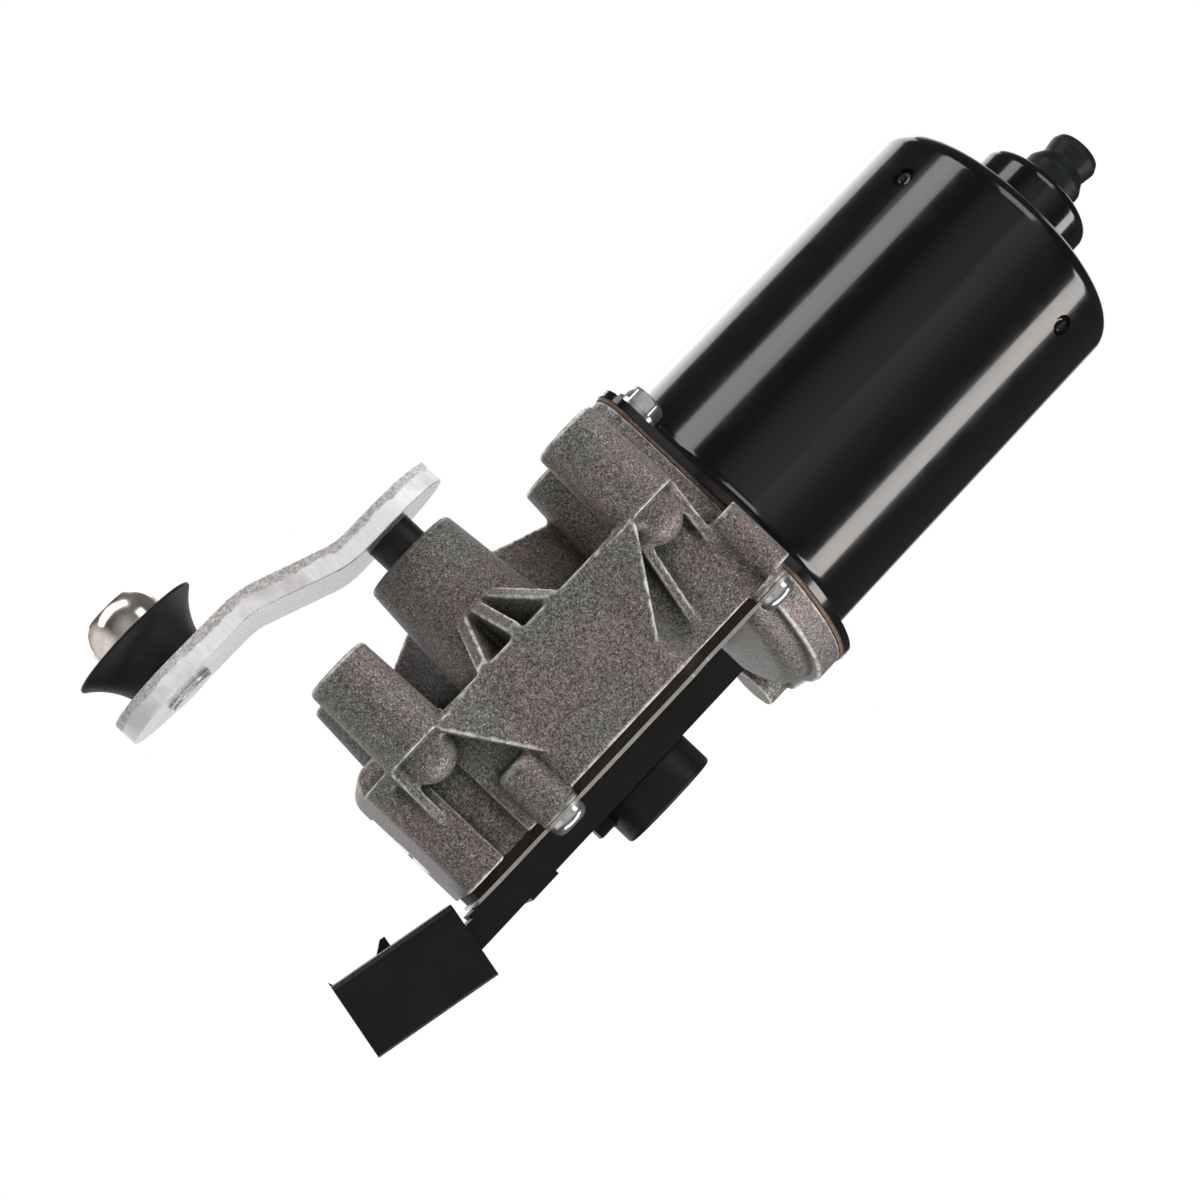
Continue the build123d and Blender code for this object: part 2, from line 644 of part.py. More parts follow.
def corner_shelf():
    """The low block that carries the near screw next to the motor, with its rounded outer pad."""
    x, y, top = COLUMN_SPOTS[0]
    pad_x = CUP_MOUTH_X - CUP_GAP - SHELF_PAD_R
    shelf = block(RIGHT_X - EDGE_R, pad_x, RECESS_Y, RECESS_Y + SHELF_DEPTH, SEAT_Z, top)
    pad = rod_z(pad_x, RECESS_Y + SHELF_PAD_INSET, SHELF_PAD_R, SEAT_Z, top)
    pad += block(pad_x, pad_x + SHELF_PAD_R, RECESS_Y + SHELF_PAD_INSET, RECESS_Y + SHELF_DEPTH, SEAT_Z, top)
    column = rod_z(x, y, COLUMN_R, COVER_Z, SEAT_Z)
    return shelf + pad + column


def gearbox_housing():
    case = case_body() + tower() + motor_cup() + corner_shelf()
    for x, y in BOSS_SPOTS:
        case += mounting_boss(x, y)
    for piece in boss_gussets() + column_backs() + screw_columns():
        case += piece
    # hollows
    case -= rod_z(SHAFT_X, 0, CHAMBER_R, SEAT_Z - CUT, CEILING_Z)
    case -= rod_x(WORM_BORE_R, END_BUSH_END_X, CUP_BACK_X)
    case -= rod_x(END_BUSH_R, END_BUSH_X, END_BUSH_END_X)
    case -= rod_x(ADJUSTER_R, LEFT_X - CUT, END_BUSH_X)
    case -= rod_x(BEARING_R, BEARING_X, CUP_FLOOR_X)
    case -= rod_x(CUP_BORE_R, CUP_FLOOR_X, CUP_MOUTH_X + CUT)
    case -= rod_z(SHAFT_X, 0, BUSH_R, CEILING_Z - CUT, TOWER_TOP + CUT)
    case -= rod_z(SHAFT_X, 0, SEAL_SEAT_R, TOWER_TOP - SEAL_DEPTH, TOWER_TOP + CUT)
    for x, y in BOSS_SPOTS:
        case -= rod_z(x, y, BOSS_HOLE_R, -BOSS_HOLE_DEPTH, CUT)
    for x, y, _ in COLUMN_SPOTS:
        case -= rod_z(x, y, SCREW_R, COVER_Z - CUT, COVER_UNDER_Z + SCREW_LENGTH + TAP_CLEARANCE)
    for y, z in BOLT_SPOTS:
        case -= rod_x(MOTOR_BOLT_R, BOLT_END_X - TAP_CLEARANCE, CUP_MOUTH_X + CUT, y, z)
    return case


# ---------------------------------------------------------------- cover, gasket and their screws
def cover_outline(inset):
    """The cover follows the casting's walls, but stops short of the motor cup."""
    right = CUP_BACK_X - CUP_GAP - inset
    corner_x, corner_y, _ = COLUMN_SPOTS[0]
    near = NEAR_Y + inset
    recess = RECESS_Y + inset
    left = LEFT_X + inset
    far = FAR_Y - inset
    near_left, near_right = SHAFT_X - NEAR_FLAT_LEFT, SHAFT_X + NEAR_FLAT_RIGHT
    return [
        (near_left, near),
        (near_right, near),
        (near_right + NEAR_SLOPE_RIGHT, recess),
        (corner_x, recess),
        (corner_x + COLUMN_R - inset, corner_y),
        (right, corner_y + 2 * COLUMN_R),
        (right, far),
        (left + TUNNEL_R / 2, far),
        (left, far - TUNNEL_R / 2),
        (left, recess + END_CORNER_R),
        (left + END_CORNER_R, recess),
        (near_left - NEAR_SLOPE_LEFT, recess),
    ]


def cover_blank(low, high, inset):
    blank = slab(cover_outline(inset), low, high, EDGE_R)
    for x, y, _ in COLUMN_SPOTS:
        blank += rod_z(x, y, COLUMN_R - inset, low, high)
    return blank


def cover_plate():
    plate = cover_blank(COVER_UNDER_Z, COVER_Z, 0)
    plate -= rod_z(SHAFT_X, 0, CAP_R - CAP_WALL, COVER_UNDER_Z - CUT, COVER_Z + CUT)
    for x, y, _ in COLUMN_SPOTS:
        plate -= rod_z(x, y, SCREW_R, COVER_UNDER_Z - CUT, COVER_Z + CUT)
    return plate


def cover_gasket():
    """The seal between casting and cover: a band just inside the edge, led round the screw columns."""
    whole = slab(cover_outline(GASKET_INSET), COVER_Z, SEAT_Z, EDGE_R)
    seal = whole - slab(cover_outline(GASKET_INSET + GASKET_WIDTH), COVER_Z - CUT, SEAT_Z + CUT)
    for x, y, _ in COLUMN_SPOTS:
        seal += whole & rod_z(x, y, COLUMN_R + GASKET_WIDTH, COVER_Z, SEAT_Z)
    for x, y, _ in COLUMN_SPOTS:
        seal -= rod_z(x, y, COLUMN_R, COVER_Z - CUT, SEAT_Z + CUT)
    return seal


def pan_screw(x, y):
    head = rod_z(x, y, SCREW_HEAD_R, COVER_UNDER_Z - SCREW_HEAD, COVER_UNDER_Z)
    head = fillet(head.edges().sort_by(Axis.Z)[0], SCREW_HEAD_EDGE_R)
    shank = rod_z(x, y, SCREW_R, COVER_UNDER_Z, COVER_UNDER_Z + SCREW_LENGTH)
    slot_z = COVER_UNDER_Z - SCREW_HEAD
    cross = Box(CROSS_LENGTH, CROSS_WIDTH, 2 * CROSS_DEPTH) + Box(CROSS_WIDTH, CROSS_LENGTH, 2 * CROSS_DEPTH)
    cross = Pos(x, y, slot_z) * cross
    return head + shank - cross


# ---------------------------------------------------------------- motor can
def motor_can():
    neck = FLANGE_X + CAN_WALL
    foot = CAN_FOOT_R
    shell = turned_x(
        Polyline((FLANGE_X, 0), (FLANGE_X, CAN_R + foot), (neck, CAN_R + foot)),
        ThreePointArc((neck, CAN_R + foot), (neck + foot * ARC_MIDDLE, CAN_R + foot * ARC_MIDDLE), (neck + foot, CAN_R)),
        Polyline((neck + foot, CAN_R), (CAN_END_X - CAN_SHOULDER_R, CAN_R)),
        corner(CAN_END_X, CAN_R, CAN_SHOULDER_R),
        Polyline((CAN_END_X, CAN_R - CAN_SHOULDER_R), (CAN_END_X, POCKET_R), (POCKET_X - POCKET_EDGE_R, POCKET_R)),
        corner(POCKET_X, POCKET_R, POCKET_EDGE_R),
        Polyline((POCKET_X, POCKET_R - POCKET_EDGE_R), (POCKET_X, 0), (FLANGE_X, 0)),
    )
    shell += flange_slab(CAN_R, FLANGE_X, neck)
    inner_end = CAN_END_X - CAN_WALL
    inner_edge = CAN_SHOULDER_R - CAN_WALL
    pocket_bore = POCKET_R - CAN_WALL
    open_x = FLANGE_X - CUT
    shell -= turned_x(
        Polyline((open_x, 0), (open_x, CAN_BORE_R), (inner_end - inner_edge, CAN_BORE_R)),
        corner(inner_end, CAN_BORE_R, inner_edge),
        Polyline((inner_end, CAN_BORE_R - inner_edge), (inner_end, pocket_bore), (POCKET_X - CAN_WALL, pocket_bore)),
        Polyline((POCKET_X - CAN_WALL, pocket_bore), (POCKET_X - CAN_WALL, 0), (open_x, 0)),
    )
    for turn in (45, 135, 225, 315):
        y = MOTOR_Y + CAN_R * cos(radians(turn))
        z = MOTOR_Z + CAN_R * sin(radians(turn))
        ball = Pos(FLANGE_X + DIMPLE_X, y, z) * Sphere(DIMPLE_R)
        inner_y = MOTOR_Y + CAN_BORE_R * cos(radians(turn))
        inner_z = MOTOR_Z + CAN_BORE_R * sin(radians(turn))
        bump = Pos(FLANGE_X + DIMPLE_X, inner_y, inner_z) * Sphere(DIMPLE_R)
        shell = shell - ball + (bump - ball)
    for y, z in BOLT_SPOTS:
        shell -= rod_x(MOTOR_BOLT_R, FLANGE_X - CUT, neck + CUT, y, z)
        shell -= rod_x(BOLT_WASHER_R + BOLT_CLEARANCE, neck, neck + CAN_FOOT_R + CUT, y, z)
    shell -= rod_x(NOZZLE_BORE_R + NOZZLE_WALL, POCKET_X - CAN_WALL - CUT, POCKET_X + CUT)
    return shell


def corner(end, radius, edge):
    """The rounded outer corner of a turned shape: end is its far x, radius its size."""
    reach = edge * ARC_MIDDLE
    return ThreePointArc((end - edge, radius), (end - reach, radius - reach), (end, radius - edge))


def flange_gasket():
    ring = flange_slab(CAN_BORE_R, CUP_MOUTH_X, FLANGE_X, -FLANGE_GASKET_INSET)
    for y, z in BOLT_SPOTS:
        ring -= rod_x(MOTOR_BOLT_R, CUP_MOUTH_X - CUT, FLANGE_X + CUT, y, z)
    return ring


def motor_bolt(y, z):
    seat = FLANGE_X + CAN_WALL
    head = Pos(seat, y, z) * Rot(0, 90, 0) * extrude(RegularPolygon(BOLT_HEX / 2, 6, major_radius=False), BOLT_HEAD)
    dome = rod_x(BOLT_ROUND_R, seat, seat + BOLT_HEAD, y, z)
    dome = chamfer(dome.edges().sort_by(Axis.X)[-1], BOLT_CHAMFER)
    washer = rod_x(BOLT_WASHER_R, seat, seat + BOLT_WASHER, y, z)
    shank = rod_x(MOTOR_BOLT_R, BOLT_END_X, seat + BOLT_WASHER, y, z)
    return (head & dome) + washer + shank


def vent_nozzle():
    return turned_x(
        Polyline(
            (POCKET_X - CAN_WALL, NOZZLE_BORE_R),
            (POCKET_X - CAN_WALL, NOZZLE_BORE_R + NOZZLE_WALL),
            (POCKET_X, NOZZLE_BORE_R + NOZZLE_WALL),
            (POCKET_X, NOZZLE_BASE_R),
            (POCKET_X + NOZZLE_BASE, NOZZLE_BASE_R),
            (POCKET_X + NOZZLE_NECK, NOZZLE_NECK_R),
            (POCKET_X + NOZZLE_HEAD, NOZZLE_HEAD_R),
            (POCKET_X + NOZZLE_LENGTH, NOZZLE_HEAD_R - NOZZLE_LIP),
            (POCKET_X + NOZZLE_LENGTH, NOZZLE_BORE_R),
            (POCKET_X - CAN_WALL, NOZZLE_BORE_R),
        )
    )


# ---------------------------------------------------------------- field and armature
def field_magnet(turn):
    ring = rod_x(CAN_BORE_R, MAGNET_END_X - MAGNET_LENGTH, MAGNET_END_X)
    ring -= rod_x(CAN_BORE_R - MAGNET_THICKNESS, MAGNET_END_X - MAGNET_LENGTH - 1.0, MAGNET_END_X + 1.0)
    half = MAGNET_ARC / 2
    far = 2 * CAN_R
    wedge = [(0, 0)]
    for angle in (-half, 0, half):
        wedge.append((far * cos(radians(turn + angle)), far * sin(radians(turn + angle))))
    sector = end_plate([(MOTOR_Y + y, MOTOR_Z + z) for y, z in wedge], MAGNET_END_X - MAGNET_LENGTH, MAGNET_END_X)
    return ring & sector


def rear_bush():
    middle = REAR_BUSH_X + REAR_BUSH_LENGTH / 2
    ball = Pos(middle, MOTOR_Y, MOTOR_Z) * Sphere(REAR_BUSH_R)
    ball &= rod_x(REAR_BUSH_R, REAR_BUSH_X, REAR_BUSH_X + REAR_BUSH_LENGTH)
    return ball - rod_x(ARMATURE_SHAFT_R + RUNNING_CLEARANCE, REAR_BUSH_X - 1.0, POCKET_X)


def bush_retainer():
    """The pressed cup that holds the rear bush in the can's pocket."""
    middle = REAR_BUSH_X + REAR_BUSH_LENGTH / 2
    ring = rod_x(POCKET_R - CAN_WALL, REAR_BUSH_X + 1.0, POCKET_X - CAN_WALL)
    ring -= Pos(middle, MOTOR_Y, MOTOR_Z) * Sphere(REAR_BUSH_R)
    return ring - rod_x(REAR_BUSH_R - 1.6, REAR_BUSH_X - 1.0, POCKET_X)


def worm_thread():
    """One turn of thread per lead, right-handed, as a strip of rack teeth wound round the core."""
    path = Helix(LEAD, WORM_LENGTH - 2 * MODULE, WORM_R, center=(0, 0, 0), direction=(0, 0, 1))
    half_pitch = LEAD / 4 - TOOTH_SLACK / 2
    slope = tan(radians(20))
    low = WORM_ROOT_R - 0.15
    points = [
        (low, -half_pitch - (WORM_R - low) * slope),
        (WORM_TIP_R, -half_pitch + MODULE * slope),
        (WORM_TIP_R, half_pitch - MODULE * slope),
        (low, half_pitch + (WORM_R - low) * slope),
    ]
    tooth = Plane.XZ * make_face(Polyline(*points, close=True))
    return sweep(tooth, path, is_frenet=True)


def armature_shaft():
    shaft = rod_x(JOURNAL_R, JOURNAL_END_X, WORM_START_X)
    shaft += rod_x(WORM_ROOT_R, WORM_START_X, WORM_END_X)
    shaft += rod_x(ARMATURE_SHAFT_R, WORM_END_X, POCKET_X - CAN_WALL - 1.0)
    thread = Rot(0, 90, 0) * Pos(0, 0, -WORM_LENGTH / 2 + MODULE) * worm_thread()
    turned = Rot(270 - degrees(2 * pi * (WORM_LENGTH / 2 - MODULE) / LEAD), 0, 0) * thread
    return shaft + Pos(SHAFT_X, MOTOR_Y, MOTOR_Z) * turned


def lamination_stack():
    stack = rod_x(ARMATURE_R, STACK_X, STACK_END_X)
    for index in range(SLOT_COUNT):
        slot_inner = ARMATURE_R - SLOT_DEPTH
        mouth = Box(STACK_LENGTH + 2.0, 2 * TOOTH_TIP, SLOT_MOUTH)
        pocket = Rot(0, 90, 0) * Cylinder(2.9, STACK_LENGTH + 2.0)
        slot = Pos(0, ARMATURE_R, 0) * mouth + Pos(0, ARMATURE_R - TOOTH_TIP - 2.6, 0) * pocket
        slot += Pos(0, (slot_inner + ARMATURE_R - TOOTH_TIP - 2.0) / 2, 0) * Box(
            STACK_LENGTH + 2.0, SLOT_DEPTH - TOOTH_TIP - 2.0, 2.8
        )
        stack -= Pos((STACK_X + STACK_END_X) / 2, MOTOR_Y, MOTOR_Z) * Rot(360 * index / SLOT_COUNT, 0, 0) * slot
    return stack - rod_x(ARMATURE_SHAFT_R, STACK_X - 1.0, STACK_END_X + 1.0)


def end_turns(start, end):
    bundle = rod_x(END_TURN_R, start, end)
    bundle = fillet(bundle.edges().filter_by(GeomType.CIRCLE), 2.4)
    for index in range(SLOT_COUNT):
        groove = Box(end - start + 2.0, 2.4, 1.2)
        turn = 360 * (index + 0.5) / SLOT_COUNT
        bundle -= Pos((start + end) / 2, MOTOR_Y, MOTOR_Z) * Rot(turn, 0, 0) * Pos(0, END_TURN_R, 0) * groove
    return bundle - rod_x(ARMATURE_SHAFT_R, start - 1.0, end + 1.0)


def slot_winding(index):
    """The copper lying in one slot of the stack."""
    pocket = Rot(0, 90, 0) * Cylinder(2.7, STACK_LENGTH)
    place = Pos((STACK_X + STACK_END_X) / 2, MOTOR_Y, MOTOR_Z) * Rot(360 * index / SLOT_COUNT, 0, 0)
    return place * Pos(0, ARMATURE_R - TOOTH_TIP - 2.8, 0) * pocket


def commutator_segment(index):
    ring = rod_x(COMMUTATOR_R, COMMUTATOR_X, COMMUTATOR_END_X)
    ring += rod_x(COMMUTATOR_R + 1.6, COMMUTATOR_END_X - 1.6, COMMUTATOR_END_X)
    ring -= rod_x(COMMUTATOR_R - COMMUTATOR_WALL, COMMUTATOR_X - 1.0, COMMUTATOR_END_X + 1.0)
    half = 180 / SLOT_COUNT - degrees(SEGMENT_GAP / 2 / COMMUTATOR_R)
    far = 2 * COMMUTATOR_R
    wedge = [(0, 0)]
    for angle in (-half, half):
        turn = radians(360 * index / SLOT_COUNT + angle)
        wedge.append((far * cos(turn), far * sin(turn)))
    sector = end_plate([(MOTOR_Y + y, MOTOR_Z + z) for y, z in wedge], COMMUTATOR_X, COMMUTATOR_END_X)
    return ring & sector


def commutator_hub():
    hub = rod_x(COMMUTATOR_R - COMMUTATOR_WALL, COMMUTATOR_X - 1.0, STACK_X - END_TURN)
    return hub - rod_x(ARMATURE_SHAFT_R, COMMUTATOR_X - 2.0, STACK_X)


def bearing_outer():
    ring = rod_x(BEARING_R, BEARING_X, CUP_FLOOR_X) - rod_x(BEARING_R - BEARING_RING, BEARING_X - 1, CUP_FLOOR_X + 1)
    return ring - ball_track(0)


def ball_track(clearance):
    """The groove the balls run in."""
    middle = (BEARING_X + CUP_FLOOR_X) / 2
    return Pos(middle, MOTOR_Y, MOTOR_Z) * Rot(0, 90, 0) * Torus(BALL_TRACK_R, BALL_SIZE_R + clearance)


def bearing_inner():
    outer = ARMATURE_SHAFT_R + BEARING_RING
    ring = rod_x(outer, BEARING_X, CUP_FLOOR_X) - rod_x(ARMATURE_SHAFT_R, BEARING_X - 1, CUP_FLOOR_X + 1)
    return ring - ball_track(RUNNING_CLEARANCE)


def bearing_ball(index):
    middle = (BEARING_X + CUP_FLOOR_X) / 2
    turn = radians(360 * index / BEARING_BALLS)
    return Pos(middle, MOTOR_Y + BALL_TRACK_R * cos(turn), MOTOR_Z + BALL_TRACK_R * sin(turn)) * Sphere(BALL_SIZE_R)


# ---------------------------------------------------------------- brush gear
def brush_plate():
    plate = rod_x(CUP_BORE_R, CUP_FLOOR_X, BRUSH_PLATE_X)
    plate -= rod_x(BEARING_R - BEARING_RING, CUP_FLOOR_X - 1.0, BRUSH_PLATE_X + 1.0)
    for side in (-1, 1):
        post = Pos(0, side * (COMMUTATOR_R + 8.0), 0) * Box(BRUSH_GAP - HOLDER_WALL, 8.0, 4.0)
        plate += Pos(BRUSH_PLATE_X + (BRUSH_GAP - HOLDER_WALL) / 2, MOTOR_Y, MOTOR_Z) * post
    return plate


def radial_box(side, inner, outer, width, start, end):
    """A box reaching outwards from the motor axis, side -1 or +1 along Y."""
    return block(
        start,
        end,
        min(MOTOR_Y + side * inner, MOTOR_Y + side * outer),
        max(MOTOR_Y + side * inner, MOTOR_Y + side * outer),
        MOTOR_Z - width / 2,
        MOTOR_Z + width / 2,
    )


def brush_holder(side):
    inner = COMMUTATOR_R + 1.4
    wall = HOLDER_WALL
    body = radial_box(side, inner, HOLDER_END_R, BRUSH_WIDTH + 2 * wall, BRUSH_X - wall, BRUSH_X + BRUSH_LENGTH + wall)
    return body - radial_box(side, inner - 1.0, HOLDER_END_R - wall, BRUSH_WIDTH, BRUSH_X, BRUSH_X + BRUSH_LENGTH)


def brush(side):
    outer = COMMUTATOR_R + BRUSH_REACH
    carbon = radial_box(side, COMMUTATOR_R - 2.0, outer, BRUSH_WIDTH, BRUSH_X, BRUSH_X + BRUSH_LENGTH)
    return carbon - rod_x(COMMUTATOR_R + BRUSH_CLEARANCE, BRUSH_X - 1.0, BRUSH_X + BRUSH_LENGTH + 1.0)


def brush_spring(side):
    """A coil spring between the brush and the closed end of its holder."""
    start = COMMUTATOR_R + BRUSH_REACH + SPRING_WIRE_R
    end = HOLDER_END_R - HOLDER_WALL - SPRING_WIRE_R
    path = Helix((end - start) / SPRING_TURNS, end - start, SPRING_R)
    wire = Plane(origin=path @ 0, z_dir=path % 0) * Rectangle(2 * SPRING_WIRE_R, 2 * SPRING_WIRE_R)
    coil = sweep(wire, path, is_frenet=True)
    return Pos(BRUSH_X + BRUSH_LENGTH / 2, MOTOR_Y + side * start, MOTOR_Z) * Rot(-90 * side, 0, 0) * coil


# ---------------------------------------------------------------- bearings in the casting
def end_bush():
    bore = JOURNAL_R + RUNNING_CLEARANCE
    return rod_x(END_BUSH_R, END_BUSH_X, END_BUSH_END_X) - rod_x(bore, END_BUSH_X - 1.0, END_BUSH_END_X + 1.0)


def thrust_adjuster():
    plug = rod_x(ADJUSTER_R, LEFT_X, END_BUSH_X)
    slot = Box(2.4, 2 * ADJUSTER_R - 2.0, 1.2)
    return plug - Pos(LEFT_X, MOTOR_Y, MOTOR_Z) * slot


def shaft_bush(low):
    outer = rod_z(SHAFT_X, 0, BUSH_R, low, low + BUSH_LENGTH)
    return outer - rod_z(SHAFT_X, 0, SHAFT_R + RUNNING_CLEARANCE, low - 1.0, low + BUSH_LENGTH + 1.0)


def shaft_seal():
    low, high = TOWER_TOP - SEAL_DEPTH, TOWER_TOP
    return turned_z(
        SHAFT_X,
        0,
        Polyline(
            (SHAFT_R + 1.4, low),
            (SEAL_SEAT_R, low),
            (SEAL_SEAT_R, high - 0.3),
            (SHAFT_R + 1.0, high - 0.3),
            (SHAFT_R + RUNNING_CLEARANCE, high - 1.2),
            (SHAFT_R + RUNNING_CLEARANCE, high - 1.9),
            (SHAFT_R + 1.4, low),
        ),
    )


def thrust_washer():
    washer = rod_z(SHAFT_X, 0, WHEEL_HUB_R - 0.5, CEILING_Z - THRUST_WASHER, CEILING_Z)
    return washer - rod_z(SHAFT_X, 0, SHAFT_R + RUNNING_CLEARANCE, CEILING_Z - 2.0, CEILING_Z + 1.0)


# ---------------------------------------------------------------- worm wheel and output shaft
def wheel_section(turn):
    """The toothed outline of the wheel, as straight-flanked teeth."""
    pitch = 360 / WHEEL_TEETH
    half_pitch = pitch / 4 - degrees(TOOTH_SLACK / 2 / WHEEL_R)
    lean = degrees(MODULE * tan(radians(20)) / WHEEL_R)
    points = []
    for index in range(WHEEL_TEETH):
        centre = index * pitch + turn
        for radius, angle in (
            (WHEEL_ROOT_R, -half_pitch - 1.25 * lean),
            (WHEEL_TIP_R, -half_pitch + lean),
            (WHEEL_TIP_R, half_pitch - lean),
            (WHEEL_ROOT_R, half_pitch + 1.25 * lean),
        ):
            at = radians(centre + angle)
            points.append((radius * cos(at), radius * sin(at)))
    return make_face(Polyline(*points, close=True))


def worm_wheel():
    twist = degrees(WHEEL_FACE / 2 * LEAD / (2 * pi * WORM_R) / WHEEL_R)
    start = 90 + 180 / WHEEL_TEETH
    low = Pos(0, 0, -WHEEL_FACE / 2) * wheel_section(start - twist)
    high = Pos(0, 0, WHEEL_FACE / 2) * wheel_section(start + twist)
    teeth = loft([low, high], ruled=True)
    inner = WHEEL_ROOT_R - WHEEL_RIM
    teeth -= Cylinder(inner, WHEEL_FACE + 2.0)
    wheel = Pos(SHAFT_X, 0, MOTOR_Z) * teeth
    wheel += rod_z(SHAFT_X, 0, inner + 0.2, MOTOR_Z - WHEEL_WEB / 2, MOTOR_Z + WHEEL_WEB / 2)
    wheel += rod_z(SHAFT_X, 0, WHEEL_HUB_R, HUB_UNDER_Z, HUB_TOP_Z)
    for index in range(8):
        rib = Pos(0, (WHEEL_HUB_R + inner) / 2, 0) * Box(1.4, inner - WHEEL_HUB_R + 1.0, WHEEL_FACE - 1.6)
        wheel += Pos(SHAFT_X, 0, MOTOR_Z) * Rot(0, 0, 45 * index) * rib
    return wheel - rod_z(SHAFT_X, 0, SHAFT_R, HUB_UNDER_Z - 1.0, HUB_TOP_Z + 1.0)


def output_shaft():
    shaft = rod_z(SHAFT_X, 0, SHAFT_R, HUB_UNDER_Z, ARM_Z)
    shaft += rod_z(SHAFT_X, 0, SPINDLE_R, ROTOR_Z + 0.6, HUB_UNDER_Z)
    shaft += cone_z(SHAFT_X, 0, SHAFT_R, SHAFT_TAPER_R, ARM_Z, ARM_TOP_Z)
    return shaft + cone_z(SHAFT_X, 0, SHAFT_TAPER_R, SHAFT_TAPER_R - 0.5, ARM_TOP_Z, ARM_TOP_Z + 0.5)


def park_rotor():
    rotor = rod_z(SHAFT_X, 0, ROTOR_R, ROTOR_Z, ROTOR_TOP_Z)
    rotor += rod_z(SHAFT_X, 0, SPINDLE_R + 1.2, ROTOR_TOP_Z, HUB_UNDER_Z)
    return rotor - rod_z(SHAFT_X, 0, SPINDLE_R, ROTOR_Z + 0.6, HUB_UNDER_Z + 1.0)


def park_ring():
    """The brass track on the rotor, cut away over the arc that stops the motor at rest."""
    ring = rod_z(SHAFT_X, 0, ROTOR_R - 0.3, ROTOR_TOP_Z, RING_TOP_Z)
    ring -= rod_z(SHAFT_X, 0, SPINDLE_R + 1.2, ROTOR_TOP_Z - 1.0, RING_TOP_Z + 1.0)
    notch = Pos(SHAFT_X, ROTOR_R - 1.2, ROTOR_TOP_Z) * Box(5.0, 2.6, 4.0)
    return ring - notch


# ---------------------------------------------------------------- crank
def arm_path(lift):
    """Points (x, z) along one face of the arm, from the shaft end to the ball end."""
    return [
        (SHAFT_X + ARM_END_R, ARM_Z + lift),
        (SHAFT_X - ARM_BEND_START, ARM_Z + lift),
        (SHAFT_X - ARM_BEND_END, ARM_Z + ARM_RISE + lift),
        (BALL_X - ARM_END_R, ARM_Z + ARM_RISE + lift),
    ]


def crank_arm():
    middle = FilletPolyline(*arm_path(ARM_THICKNESS / 2), radius=ARM_BEND_R)
    strip = Plane.XZ * trace(middle, line_width=ARM_THICKNESS)
    strip = extrude(strip, ARM_END_R + 1.0, both=True)
    outline = Pos(SHAFT_X, 0) * Circle(ARM_END_R) + Pos(BALL_X, 0) * Circle(ARM_END_R)
    outline += Pos((SHAFT_X + BALL_X) / 2, 0) * Rectangle(CRANK_RADIUS, 2 * ARM_END_R)
    plan = Pos(0, 0, ARM_Z - 5.0) * extrude(outline, ARM_RISE + ARM_THICKNESS + 10.0)
    arm = strip & plan
    arm -= cone_z(SHAFT_X, 0, SHAFT_R, SHAFT_TAPER_R, ARM_Z, ARM_TOP_Z)
    arm -= rod_z(SHAFT_X, 0, SHAFT_TAPER_R, ARM_TOP_Z - 0.01, ARM_TOP_Z + 1.0)
    return arm - rod_z(BALL_X, 0, BALL_SHANK_R, ARM_Z, BALL_SEAT_Z + 1.0)


def ball_stud():
    under = BALL_SEAT_Z - ARM_THICKNESS
    stud = rod_z(BALL_X, 0, BALL_SHANK_R, under, BALL_SEAT_Z)
    rivet = rod_z(BALL_X, 0, RIVET_R, under - RIVET_HEIGHT, under)
    stud += fillet(rivet.edges().sort_by(Axis.Z)[0], 0.5)
    stud += rod_z(BALL_X, 0, BALL_FOOT_R, BALL_SEAT_Z, BALL_SEAT_Z + BALL_FOOT)
    stud += rod_z(BALL_X, 0, BALL_NECK_R, BALL_SEAT_Z, BALL_Z)
    ball = Pos(BALL_X, 0, BALL_Z) * Sphere(BALL_R)
    return stud + ball - rod_z(BALL_X, 0, BALL_R, BALL_Z + BALL_FLAT, BALL_Z + BALL_R + 1.0)


def ball_boot():
    """The flared rubber cup round the ball's neck."""
    low, rim = BALL_SEAT_Z, BALL_SEAT_Z + BOOT_HEIGHT
    foot = low + BALL_FOOT
    lip = rim - BOOT_LIP
    return turned_z(
        BALL_X,
        0,
        Polyline((BALL_FOOT_R, low), (BOOT_FOOT_R, low)),
        ThreePointArc((BOOT_FOOT_R, low), (BOOT_MID_R, low + BOOT_HEIGHT / 2), (BOOT_RIM_R, lip)),
        Polyline((BOOT_RIM_R, lip), (BOOT_RIM_R, rim), (BOOT_RIM_R - BOOT_WALL, rim)),
        ThreePointArc(
            (BOOT_RIM_R - BOOT_WALL, rim),
            (BOOT_MID_R - BOOT_WALL, low + BOOT_HEIGHT / 2 + BOOT_LIP),
            (BALL_FOOT_R, foot + BOOT_SEAT),
        ),
        Polyline((BALL_FOOT_R, foot + BOOT_SEAT), (BALL_NECK_R, foot + BOOT_SEAT), (BALL_NECK_R, foot)),
        Polyline((BALL_NECK_R, foot), (BALL_FOOT_R, foot), (BALL_FOOT_R, low)),
    )


# ---------------------------------------------------------------- contact carrier and connector
def in_socket(shape):
    """Places a shape drawn with its mouth at the origin, reaching along +X, into the tilted socket."""
    return Pos(SOCKET_X, 0, SOCKET_Z) * Rot(0, SOCKET_TILT, 0) * shape


